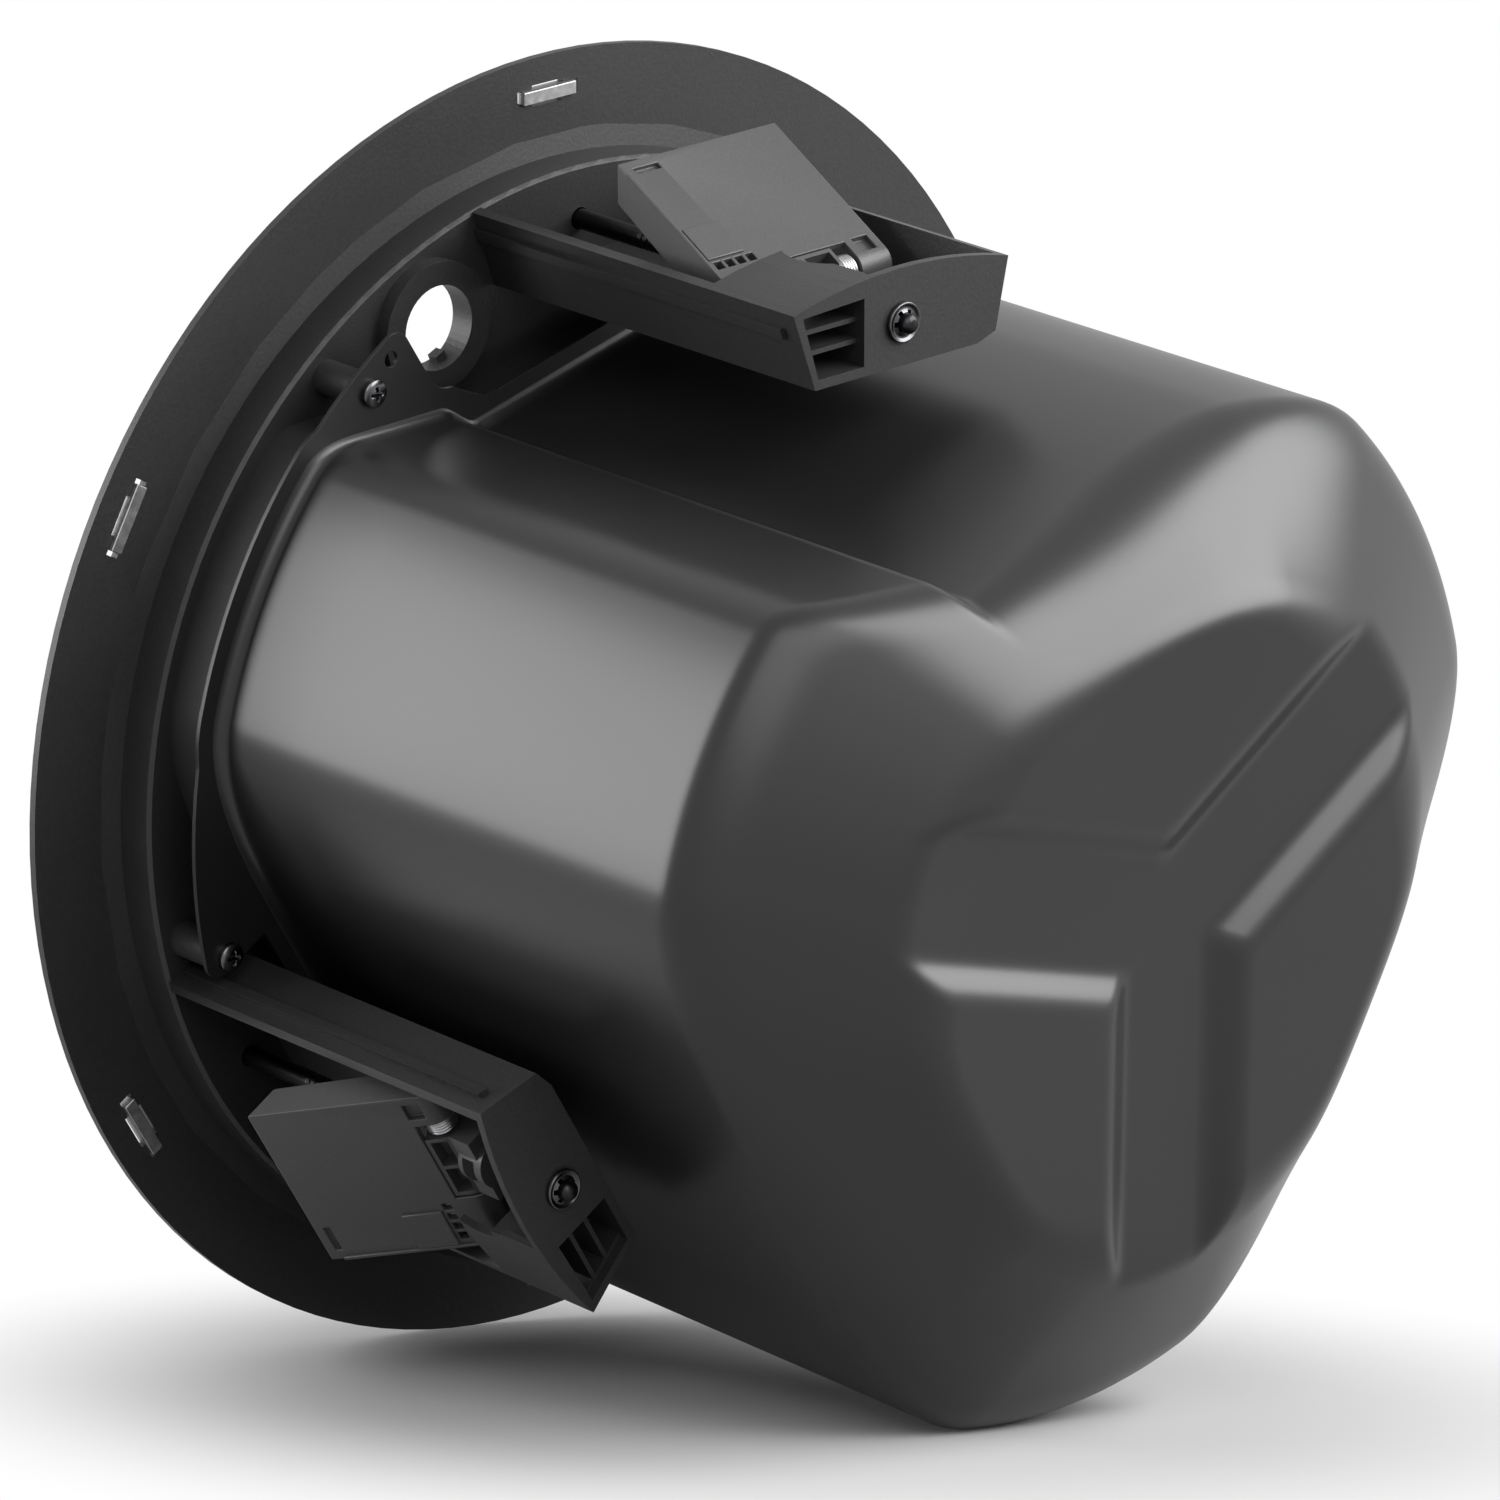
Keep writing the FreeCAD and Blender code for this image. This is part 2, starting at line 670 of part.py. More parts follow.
def baffle():
    """The whole moulding: disc, can seat wall, screw bosses, cable entry ring and three towers."""
    body = baffle_disc()
    seat = outline_prism(can_seat_out, shelf_rear_z - 1.0, can_seat_z)
    seat = seat.cut(outline_prism(-can_seat_in, shelf_rear_z - 1.0, can_seat_z))
    adds = [seat]
    for centre in can_screw_centres():
        adds.append(cylinder(boss_r, shelf_rear_z - 1.0, plate_under_z, centre))
    entry = polar(entry_pitch_r, entry_angle)
    entry_ring = cylinder(entry_ring_r, shelf_rear_z - 1.0, entry_ring_z, entry)
    adds.append(entry_ring.common(cylinder(neck_r - 1.0, 0, tower_rear_z)))
    tower = tower_shell().cut(tower_pocket())
    adds += [turned(tower, i * 360.0 / tower_count) for i in range(tower_count)]
    body = body.fuse(adds)
    cuts = [cylinder(entry_r, 0, entry_ring_z, entry).cut(entry_tab_block(entry))]
    for centre in can_screw_centres():
        cuts.append(cylinder(can_screw_r, plate_top_z - can_screw_len, plate_under_z, centre))
    for tower_angle in tower_angles:
        cuts.append(cylinder(screw_r + side_gap, 0, tower_rear_z, polar(screw_pitch_r, tower_angle)))
    for i in range(magnet_count):
        cuts.append(turned(magnet_slot(), magnet_first_angle + i * 360.0 / magnet_count))
    for i in range(woofer_screw_count):
        spot = polar(woofer_screw_pitch_r, i * 360.0 / woofer_screw_count)
        cuts.append(cylinder(woofer_screw_r, shelf_front_z, shelf_rear_z, spot))
    deep = terminal_tail_d / 2 + fit_gap
    wide = terminal_tail_w / 2 + fit_gap
    tail = box(terminal_pitch_r - deep, terminal_pitch_r + deep, -wide, wide, shelf_front_z, shelf_rear_z)
    cuts.append(turned(tail, terminal_angle))
    return body.cut(cuts)


def entry_tab_block(entry):
    """Small key tab that stands into the cable hole."""
    tab = box(-entry_tab / 2, entry_tab / 2, -entry_r, -entry_r + entry_tab / 2, shelf_front_z, shelf_rear_z)
    tab.rotate(V(0, 0, 0), Z_AXIS, entry_angle - tower_first_angle)
    tab.translate(entry)
    return tab


def grille_magnets():
    """Bar magnets, one in each slot."""
    z0 = grille_seat_depth
    bar = box(magnet_pitch_r - magnet_w / 2, magnet_pitch_r + magnet_w / 2, -magnet_len / 2, magnet_len / 2,
              z0, z0 + magnet_h)
    return Part.makeCompound([turned(bar, magnet_first_angle + i * 360.0 / magnet_count)
                              for i in range(magnet_count)])


def can_gasket():
    """Seal between the baffle's can seat and the can's plate, notched round the bosses."""
    seal = outline_prism(can_seat_out, can_seat_z, plate_under_z)
    seal = seal.cut(outline_prism(-can_seat_in, can_seat_z, plate_under_z))
    return seal.cut([cylinder(boss_r + fit_gap, can_seat_z, plate_under_z, c) for c in can_screw_centres()])


def pan_screw(centre, under_z, shank_r, shank_len, head_r, head_h, up):
    """Pan-head screw whose head bears on under_z; up is 1 when the head points to +Z."""
    head = cylinder(head_r, 0, head_h)
    head = head.makeChamfer(head_h * 0.35, edges_at(head, lambda c: c.z > head_h - 0.01))
    recess = extrude_polygon([polar(head_r * 0.45, a * 60.0, head_h * 0.5) for a in range(6)],
                             V(0, 0, head_h))
    screw = head.cut(recess).fuse(cylinder(shank_r, -shank_len, 0))
    if up < 0:
        screw.rotate(V(0, 0, 0), V(1, 0, 0), 180)
    screw.translate(V(centre.x, centre.y, under_z))
    return screw


def can_screws():
    """Six screws through the can's plate into the bosses."""
    length = can_screw_len - fit_gap
    return Part.makeCompound([pan_screw(c, plate_top_z, can_screw_r, length, can_screw_head_r,
                                        can_screw_head_h, 1) for c in can_screw_centres()])


def clamp_screw():
    """Long screw of tower A, with its socket head at the front."""
    centre = local(0, screw_pitch_r, 0)
    head = pan_screw(centre, shelf_front_z, screw_r, tower_rear_z + screw_tip - shelf_front_z,
                     screw_head_r, screw_head_h, -1)
    return head


def clamp_washer():
    """Push-on washer behind the end plate."""
    z0 = tower_rear_z + side_gap
    centre = local(0, screw_pitch_r, 0)
    washer = ring(washer_r, screw_r, z0, z0 + washer_t, centre)
    return washer.makeChamfer(washer_t * 0.3, edges_at(washer, lambda c: c.z > z0 + washer_t - 0.01)[:1])


def cross_cylinder(radius, t0, t1, r, z):
    """Cylinder along the tower's tangential direction."""
    return Part.makeCylinder(radius, t1 - t0, local(t1, r, z), V(1, 0, 0))


def clamp_carriage():
    """Carriage of tower A: guided block with nut pocket, pocketed barrel and two trunnions."""
    floor_r = tower_inner_r + tower_wall + side_gap
    body = local_box(block_cw_t, block_ccw_t, floor_r, block_top_r, block_front_z, block_rear_z)
    body = body.fuse(carriage_barrel())
    centre = local(0, screw_pitch_r, 0)
    body = body.fuse(cylinder(nut_boss_r, nut_z - 1.5, block_rear_z + 1.5, centre))
    body = body.cut(barrel_pockets())
    body = body.cut(cylinder(screw_r + run_gap, block_front_z, block_rear_z + 1.5, centre))
    body = body.cut(local_box(-nut_side / 2, nut_side / 2, screw_pitch_r - nut_side / 2,
                              screw_pitch_r + nut_boss_r + 1.0, nut_z, nut_z + nut_t))
    body = body.fuse(cross_cylinder(trunnion_r, flap_cw_t, block_cw_t, hinge_r, hinge_z))
    return body.fuse(cross_cylinder(trunnion_r, block_ccw_t, flap_ccw_t, hinge_r, hinge_z))


def carriage_barrel():
    """Part of the carriage between the flap's knuckles, flush with the flap's skin."""
    radius = knuckle_r - side_gap
    flat = box(-block_ccw_t, -block_cw_t, 0, radius, side_gap - flap_heel, 0)
    return cross_cylinder(radius, block_cw_t, block_ccw_t, hinge_r, hinge_z).fuse(flap_frame(flat))


def barrel_pockets():
    """Two pockets side by side in the barrel's flat."""
    top = knuckle_r - side_gap
    width = (block_ccw_t - block_cw_t - 3 * barrel_rib_t) / 2
    pockets = []
    for i in range(2):
        x0 = barrel_rib_t - block_ccw_t + i * (width + barrel_rib_t)
        pockets.append(flap_frame(box(x0, x0 + width, top - barrel_pocket_depth, top + 1.0,
                                      side_gap - flap_heel + barrel_rib_t, barrel_pocket_rear)))
    return Part.makeCompound(pockets)


def clamp_nut():
    """Square nut in the carriage's pocket."""
    half = nut_side / 2 - 0.05
    nut = local_box(-half, half, screw_pitch_r - half, screw_pitch_r + half,
                    nut_z + 0.05, nut_z + nut_t - 0.05)
    return nut.cut(cylinder(screw_r + run_gap, nut_z, nut_z + nut_t, local(0, screw_pitch_r, 0)))


def flap_profile():
    """Side section of the open flap: a slab that rounds off about the hinge."""
    a = math.radians(flap_angle)
    nose = V(0, math.cos(a), math.sin(a)) * knuckle_r
    reach = (hinge_z - flap_front_z)
    hinge = V(0, hinge_r, hinge_z)
    top = hinge + nose
    low = hinge - nose
    tip_top = V(0, top.y + (top.z - flap_front_z) * math.tan(a), flap_front_z)
    tip_low = tip_top - V(0, flap_tip_h, 0)
    heel = hinge + V(0, -math.sin(a), math.cos(a)) * knuckle_r
    edges = [Part.makeLine(tip_low, tip_top), Part.makeLine(tip_top, top),
             Part.Arc(top, heel, low).toShape(), Part.makeLine(low, tip_low)]
    return Part.Face(Part.Wire(edges)), reach


def flap_frame(shape):
    """Move a shape built along the flap (x along t, y off its skin, z along its length) onto the flap."""
    shape.rotate(V(0, 0, 0), V(1, 0, 0), flap_angle)
    shape.translate(V(0, hinge_r, hinge_z))
    return shape


def clamp_flap():
    """Barb of tower A: a tray with side walls, two hinge knuckles and its small recesses."""
    face, reach = flap_profile()
    face.translate(V(-flap_ccw_t, 0, 0))
    body = face.extrude(V(flap_ccw_t - flap_cw_t, 0, 0))
    skin = knuckle_r - flap_skin
    length = 2 * reach
    tray = box(flap_side - flap_ccw_t, -flap_cw_t - flap_side, -knuckle_r - 1.0, skin, -length, -flap_heel)
    tip = local_box(flap_cw_t, flap_ccw_t, hinge_r, hinge_r + 2 * knuckle_r + length,
                    flap_front_z, flap_front_z + flap_skin)
    tray = flap_frame(tray).cut(tip)
    body = body.cut(tray)
    gap = box(-knuckle_ccw_t, -knuckle_cw_t, -knuckle_r - 1.0, knuckle_r + 1.0, -flap_heel, knuckle_r + 1.0)
    body = body.cut(flap_frame(gap))
    rod = box(-flap_rod_slot / 2, flap_rod_slot / 2, -knuckle_r - 1.0, skin, -length, -flap_heel)
    body = body.cut(flap_frame(rod))
    body = body.cut(cross_cylinder(trunnion_r + run_gap, flap_cw_t, flap_ccw_t, hinge_r, hinge_z))
    return body.cut(flap_recesses(reach))


def flap_recesses(reach):
    """Pocket on the clockwise knuckle, row of small windows and the slot at the free corner."""
    top = knuckle_r
    mid = -(knuckle_cw_t + flap_cw_t) / 2
    pocket = box(mid - flap_pocket / 2, mid + flap_pocket / 2, top - flap_pocket_depth, top + 2.0,
                 -flap_pocket, -0.6)
    cuts = [pocket]
    for i in range(flap_vents):
        x = -(knuckle_ccw_t + 1.4 + i * flap_vent_pitch)
        cuts.append(box(x - flap_vent_side, x, top - flap_skin - 0.5, top + 2.0,
                        -flap_heel - 2.2 - flap_vent_side, -flap_heel - 2.2))
    long, wide, deep = flap_corner_slot
    free = -(reach / math.cos(math.radians(flap_angle))) - knuckle_r * math.tan(math.radians(flap_angle))
    cuts.append(box(3.0 - flap_ccw_t, 3.0 - flap_ccw_t + long, top - deep, top + 2.0,
                    free + 2.4, free + 2.4 + wide))
    return Part.makeCompound([flap_frame(c) for c in cuts])


def clamp_spring():
    """Torsion spring round the clockwise trunnion: close turns with a leg at each end."""
    pitch = (block_cw_t - knuckle_cw_t - 2 * side_gap) / spring_turns
    bore = spring_coil_r - spring_wire_r
    profile = [(bore, 0)]
    for i in range(spring_turns):
        profile += [(spring_coil_r, i * pitch), (spring_coil_r + spring_wire_r, (i + 0.5) * pitch)]
    profile += [(spring_coil_r, spring_turns * pitch), (bore, spring_turns * pitch)]
    spring = revolve(profile)
    w = spring_wire_r
    for z in (0.0, spring_turns * pitch - 2 * w):
        spring = spring.fuse(box(spring_coil_r - w, spring_coil_r + w, -spring_leg, 0, z, z + 2 * w))
    spring.rotate(V(0, 0, 0), V(0, 1, 0), 90)
    spring.translate(local(block_cw_t - side_gap, hinge_r, hinge_z))
    return spring


def woofer_basket():
    """Pressed frame: dished rim, tapered spokes, spider seat and motor floor."""
    w = basket_wall
    shell = revolve([(rim_r, rim_front_z), (rim_r, rim_front_z + rim_t), (basket_dish_r, rim_front_z + rim_t),
                     (basket_dish_r, seat_front_z + w), (basket_neck_r + w, seat_front_z + w),
                     (spider_seat_out_r + w, spider_seat_z + w), (basket_floor_r + w, spider_seat_z + w),
                     (basket_floor_r, basket_floor_z + basket_floor_t),
                     (basket_hole_r, basket_floor_z + basket_floor_t),
                     (basket_hole_r, basket_floor_z), (basket_floor_r - w, basket_floor_z),
                     (spider_seat_in_r, spider_seat_z), (spider_seat_out_r, spider_seat_z),
                     (basket_neck_r, seat_front_z), (basket_dish_r - w, seat_front_z),
                     (basket_dish_r - w, rim_front_z)])
    span = 360.0 / basket_windows
    for i in range(basket_windows):
        a0 = i * span + basket_spoke_deg / 2
        a1 = (i + 1) * span - basket_spoke_deg / 2
        shell = shell.cut(basket_window(a0, a1))
    for i in range(woofer_screw_count):
        spot = polar(woofer_screw_pitch_r, i * 360.0 / woofer_screw_count)
        shell = shell.cut(cylinder(woofer_screw_r + fit_gap, rim_front_z, rim_front_z + rim_t, spot))
    return shell


def basket_window(a0, a1):
    """Cutter for one opening between two spokes."""
    z0 = seat_front_z + 7.0
    z1 = spider_seat_z - 5.0
    near_r = spider_seat_out_r - 4.0
    points = [V(near_r, 0, z0), V(rim_r, 0, z0), V(rim_r, 0, z1), V(near_r, 0, z1)]
    wire = Part.makePolygon(points + [points[0]])
    cutter = Part.Face(wire).revolve(V(0, 0, 0), Z_AXIS, a1 - a0)
    return turned(cutter, a0)


def woofer_gasket():
    """Foam ring between the woofer's rim and the baffle, inside the screws."""
    inside = woofer_screw_pitch_r - woofer_screw_r - fit_gap
    return ring(inside, driver_opening_r, rim_front_z + rim_t, shelf_front_z)


def woofer_screws():
    """Screws that hold the woofer, heads to the room."""
    length = shelf_rear_z - rim_front_z - fit_gap
    places = [polar(woofer_screw_pitch_r, i * 360.0 / woofer_screw_count) for i in range(woofer_screw_count)]
    return Part.makeCompound([pan_screw(place, rim_front_z, woofer_screw_r, min(woofer_screw_len, length),
                                        woofer_screw_head_r, woofer_screw_head_h, -1) for place in places])


def woofer_back_plate():
    """Back plate and pole in one piece."""
    plate = cylinder(motor_r - 1.5, back_plate_z, motor_rear_z)
    return plate.fuse(cylinder(pole_r, motor_front_z, back_plate_z))


def woofer_cone():
    """Flared cone from the coil to the surround."""
    steps = 3
    front = []
    for i in range(steps + 1):
        u = float(i) / steps
        z = cone_neck_z + (cone_edge_z - cone_neck_z) * u + cone_flare * 4 * u * (1 - u)
        front.append((coil_out_r + (cone_edge_r - coil_out_r) * u, z))
    return revolve(front + [(r, z + cone_t) for r, z in reversed(front)])


def woofer_surround():
    """Half-roll surround that bulges to the room, with a lip on the cone and one on the basket."""
    z1 = seat_front_z
    z0 = z1 - surround_t
    mid = (surround_roll_in_r + surround_seat_in_r) / 2
    angles = [math.radians(a) for a in range(180, -1, -180 // surround_facets)]
    under = [(mid + surround_roll_r * math.cos(a), z1 - surround_roll_r * math.sin(a)) for a in angles]
    over_r = surround_roll_r + surround_t
    over = [(mid + over_r * math.cos(a), z0 - (over_r - surround_t) * math.sin(a)) for a in reversed(angles)]
    lip = surround_roll_in_r - surround_lip
    seat = [(surround_seat_out_r, z1), (surround_seat_out_r, z0)]
    return revolve([(lip, z1)] + under + seat + over + [(lip, z0)])


def woofer_spider():
    """Corrugated suspension between the coil and the basket."""
    pitch = (spider_seat_in_r - coil_out_r) / (2 * spider_waves)
    z1 = spider_seat_z
    line = [(coil_out_r + i * pitch, z1 - (spider_wave_h if i % 2 else 0.0))
            for i in range(2 * spider_waves + 1)]
    line.append((spider_seat_out_r - 1.0, z1))
    return revolve(line + [(r, z - spider_t) for r, z in reversed(line)])


def tweeter_housing():
    """Turned cup with a short horn flare at its mouth."""
    w = tweeter_wall
    mouth = tweeter_front_z
    throat = mouth + 4.0
    return revolve([(0, tweeter_rear_z), (tweeter_r, tweeter_rear_z),
                    (tweeter_r, mouth + 1.0), (tweeter_r - 1.0, mouth), (tweeter_flare_r + 1.0, mouth),
                    (dome_ring_r, throat), (dome_ring_r, throat + 1.2),
                    (tweeter_r - w, throat + 1.2), (tweeter_r - w, tweeter_rear_z - w),
                    (0, tweeter_rear_z - w)])


def tweeter_dome():
    """Soft dome with its own flat surround ring."""
    z0 = tweeter_front_z + 4.0 + 1.2
    sphere_r = (dome_r ** 2 + dome_rise ** 2) / (2 * dome_rise)
    centre_z = z0 - dome_rise + sphere_r
    half = math.asin(dome_r / sphere_r)
    tilts = [half * i / dome_bands for i in range(dome_bands + 1)]
    front = [(sphere_r * math.sin(a), centre_z - sphere_r * math.cos(a)) for a in tilts]
    edge = tweeter_r - tweeter_wall - fit_gap
    return revolve(front + [(edge, z0), (edge, z0 + dome_t)] + [(r, z + dome_t) for r, z in reversed(front)])


def tweeter_magnet():
    """Neodymium slug and its pole, behind the dome."""
    z1 = tweeter_rear_z - tweeter_wall
    return cylinder(tweeter_magnet_r, z1 - tweeter_magnet_t, z1)


def board_corners():
    """Axes of the board's four holes."""
    return [V(x, y, 0) for x in (-board_hole_x, board_hole_x) for y in (-board_hole_y, board_hole_y)]


def crossover_board():
    """Circuit board with rounded corners and its four mounting holes."""
    z0 = motor_rear_z + standoff_h
    board = box(-board_w / 2, board_w / 2, -board_h / 2, board_h / 2, z0, z0 + board_t)
    corners = edges_at(board, lambda c: abs(abs(c.x) - board_w / 2) < 0.01
                       and abs(abs(c.y) - board_h / 2) < 0.01)
    board = board.makeFillet(standoff_r, corners)
    return board.cut([cylinder(standoff_peg_r, z0, z0 + board_t, c) for c in board_corners()])


def crossover_standoffs():
    """Spacers between the motor and the board, each with a peg through the board."""
    z1 = motor_rear_z + standoff_h
    posts = []
    for c in board_corners():
        peg = cylinder(standoff_peg_r, z1, z1 + board_t + standoff_peg_h, c)
        hexagon = [c + polar(standoff_r, a * 60.0, motor_rear_z) for a in range(6)]
        posts.append(extrude_polygon(hexagon, V(0, 0, standoff_h)).fuse(peg))
    return Part.makeCompound(posts)


def crossover_coils():
    """Air-core coils that stand on the board."""
    z0 = motor_rear_z + standoff_h + board_t
    return Part.makeCompound([ring(outer, inner, z0, z0 + height, V(x, y, 0))
                              for x, y, outer, inner, height in coil_sizes])


def crossover_capacitors():
    """Film capacitors that lie on the board."""
    z0 = motor_rear_z + standoff_h + board_t
    bodies = []
    for x, y, radius in capacitor_sizes:
        bodies.append(Part.makeCylinder(radius, 2 * capacitor_half_len,
                                        V(x - capacitor_half_len, y, z0 + radius), V(1, 0, 0)))
    return Part.makeCompound(bodies)


def terminal_block():
    """Push terminal block on the front of the baffle, with its tail through the shelf."""
    r0 = terminal_pitch_r
    body = box(r0 - terminal_d / 2, r0 + terminal_d / 2, -terminal_w / 2, terminal_w / 2,
               shelf_front_z - terminal_h, shelf_front_z)
    body = body.makeChamfer(1.2, edges_at(body, lambda c: c.z < shelf_front_z - terminal_h + 0.01))
    tail = box(r0 - terminal_tail_d / 2, r0 + terminal_tail_d / 2, -terminal_tail_w / 2, terminal_tail_w / 2,
               shelf_front_z, terminal_tail_z)
    body = body.fuse(tail)
    pitch = terminal_w / terminal_ports
    for i in range(terminal_ports):
        y = (i - (terminal_ports - 1) / 2.0) * pitch
        z0 = shelf_front_z - terminal_h
        body = body.cut(cylinder(terminal_port_r, z0, z0 + terminal_port_depth, V(r0, y, 0)))
    return turned(body, terminal_angle)


os.makedirs("parts", exist_ok=True)

save(baffle(), "baffle")
save(grille_magnets(), "grille_magnets")
save(back_can(), "back_can")
save(can_gasket(), "can_gasket")
save(can_screws(), "can_screws")

for index, letter in enumerate("abc"):
    spin = index * 360.0 / tower_count
    save(turned(clamp_screw(), spin), "clamp_screw_" + letter)
    save(turned(clamp_washer(), spin), "clamp_washer_" + letter)
    save(turned(clamp_carriage(), spin), "clamp_carriage_" + letter)
    save(turned(clamp_nut(), spin), "clamp_nut_" + letter)
    save(turned(clamp_flap(), spin), "clamp_flap_" + letter)
    save(turned(clamp_spring(), spin), "clamp_spring_" + letter)

save(woofer_basket(), "woofer_basket")
save(woofer_gasket(), "woofer_gasket")
save(woofer_screws(), "woofer_screws")
save(ring(motor_r, air_gap_r, motor_front_z, ferrite_z), "woofer_top_plate")
save(ring(motor_r, ferrite_bore_r, ferrite_z, back_plate_z), "woofer_magnet")
save(woofer_back_plate(), "woofer_back_plate")
save(ring(coil_out_r, coil_in_r, coil_front_z, coil_rear_z), "voice_coil")
save(woofer_cone(), "woofer_cone")
save(woofer_surround(), "woofer_surround")
save(woofer_spider(), "woofer_spider")

save(cylinder(post_r, tweeter_rear_z, motor_front_z), "tweeter_post")
save(tweeter_housing(), "tweeter_housing")
save(tweeter_dome(), "tweeter_dome")
save(tweeter_magnet(), "tweeter_magnet")

save(crossover_standoffs(), "crossover_standoffs")
save(crossover_board(), "crossover_board")
save(crossover_coils(), "crossover_coils")
save(crossover_capacitors(), "crossover_capacitors")
save(terminal_block(), "terminal_block")
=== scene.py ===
import math

import bmesh
import bpy
import numpy as np
from mathutils import Matrix, Vector


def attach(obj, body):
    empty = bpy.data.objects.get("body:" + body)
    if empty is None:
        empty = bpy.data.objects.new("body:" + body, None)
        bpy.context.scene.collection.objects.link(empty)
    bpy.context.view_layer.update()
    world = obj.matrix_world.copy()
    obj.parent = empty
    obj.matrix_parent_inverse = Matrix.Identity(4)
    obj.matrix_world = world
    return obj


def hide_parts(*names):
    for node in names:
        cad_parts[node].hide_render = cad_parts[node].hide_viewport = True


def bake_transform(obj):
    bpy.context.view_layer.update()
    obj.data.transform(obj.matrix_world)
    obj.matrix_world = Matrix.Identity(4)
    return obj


# Round in-ceiling loudspeaker seen from behind. Metres, in the CAD frame: origin at the centre of the
# flange's room-side face, +Z towards the rear of the can, tower A at +Y.

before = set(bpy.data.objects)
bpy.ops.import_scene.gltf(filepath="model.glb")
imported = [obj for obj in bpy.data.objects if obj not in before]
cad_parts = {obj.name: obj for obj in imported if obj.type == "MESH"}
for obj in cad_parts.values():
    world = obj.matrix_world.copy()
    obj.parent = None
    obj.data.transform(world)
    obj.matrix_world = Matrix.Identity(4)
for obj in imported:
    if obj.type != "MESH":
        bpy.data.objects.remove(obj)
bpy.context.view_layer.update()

MM = 0.001
TOWERS = {"a": 90.0, "b": 210.0, "c": 330.0}

# Back can: the same outline formula as the solid, in millimetres
LOBE_R, FLAT_D, CORNER_SOFT = 133.5, 107.0, 17.0
SCOOP_ANGLE, SCOOP_D, SIDE_ANGLE, SIDE_D = 103.7, 96.0, 90.0, 92.5
STEP_ANGLE, STEP_D, SCOOP_SOFT = 45.0, 25.9, 7.0
PLATEAU_R, PLATEAU_FLAT_D, PLATEAU_SCOOP_D, PLATEAU_SOFT = 79.5, 75.5, 73.3, 5.0
CAN_REAR_Z, SHOULDER_H, SHOULDER_SOFT, REAR_EDGE_SOFT = 222.0, 32.0, 12.0, 5.0
PLATE_TOP_Z, FOOT_R = 31.0, 3.0
Y_ANGLES, Y_CENTRE_Y, Y_FLOOR_HALF, Y_MOUTH_HALF, Y_DEPTH = (31.5, 162.0, 269.5), 1.5, 13.8, 21.5, 5.0
CAN_COLUMNS = 560


# Materials
def shader(name, base, rough, metallic=0.0):
    """New material with its node tree and principled shader."""
    mat = bpy.data.materials.new(name)
    mat.use_nodes = True
    tree = mat.node_tree
    bsdf = tree.nodes["Principled BSDF"]
    bsdf.inputs["Base Color"].default_value = (*base, 1)
    bsdf.inputs["Roughness"].default_value = rough
    bsdf.inputs["Metallic"].default_value = metallic
    return mat, tree, bsdf


def noise(tree, scale, detail=2.0, stretch=(1, 1, 1)):
    """Noise in object space, with a size given in cycles per metre."""
    coords = tree.nodes.new("ShaderNodeTexCoord")
    mapping = tree.nodes.new("ShaderNodeMapping")
    mapping.inputs["Scale"].default_value = stretch
    tex = tree.nodes.new("ShaderNodeTexNoise")
    tex.inputs["Scale"].default_value = scale
    tex.inputs["Detail"].default_value = detail
    tree.links.new(coords.outputs["Object"], mapping.inputs["Vector"])
    tree.links.new(mapping.outputs["Vector"], tex.inputs["Vector"])
    return tex.outputs["Fac"]


def ramp(tree, fac, lo, hi, low_at=0.3, high_at=0.7):
    """Colour ramp between two grey levels or colours."""
    node = tree.nodes.new("ShaderNodeValToRGB")
    node.color_ramp.elements[0].position = low_at
    node.color_ramp.elements[1].position = high_at
    node.color_ramp.elements[0].color = (*lo, 1)
    node.color_ramp.elements[1].color = (*hi, 1)
    tree.links.new(fac, node.inputs["Fac"])
    return node.outputs["Color"]


def span(tree, fac, lo, hi):
    """Map a 0 to 1 value to a range."""
    node = tree.nodes.new("ShaderNodeMapRange")
    node.inputs["To Min"].default_value = lo
    node.inputs["To Max"].default_value = hi
    tree.links.new(fac, node.inputs["Value"])
    return node.outputs["Result"]


def bump(tree, bsdf, fac, height):
    """Surface relief of a height given in metres."""
    node = tree.nodes.new("ShaderNodeBump")
    node.inputs["Distance"].default_value = height
    tree.links.new(fac, node.inputs["Height"])
    tree.links.new(node.outputs["Normal"], bsdf.inputs["Normal"])


def grey(v):
    """Grey colour."""
    return (v, v, v * 1.02)


def moulded(name, level, rough, grain=1100.0, height=0.00006, spread=0.18, specular=0.4):
    """Moulded plastic with a fine spark-eroded grain."""
    mat, tree, bsdf = shader(name, grey(level), rough)
    bsdf.inputs["Specular IOR Level"].default_value = specular
    fine = noise(tree, grain, 3.0)
    broad = noise(tree, 35.0, 2.0)
    color = ramp(tree, fine, grey(level * (1 - spread)), grey(level * (1 + spread)))
    tree.links.new(color, bsdf.inputs["Base Color"])
    tree.links.new(span(tree, broad, rough - 0.05, rough + 0.05), bsdf.inputs["Roughness"])
    bump(tree, bsdf, fine, height)
    return mat


def coated_can():
    """Satin powder coat of the can: soft sheen, faint orange peel and a slow change of shade."""
    mat, tree, bsdf = shader("can_coat", grey(0.007), 0.33)
    bsdf.inputs["Specular IOR Level"].default_value = 0.43
    peel = noise(tree, 420.0, 2.0)
    cloud = noise(tree, 9.0, 3.0)
    tree.links.new(ramp(tree, cloud, grey(0.006), grey(0.008)), bsdf.inputs["Base Color"])
    tree.links.new(span(tree, cloud, 0.3, 0.36), bsdf.inputs["Roughness"])
    bump(tree, bsdf, peel, 0.00001)
    return mat


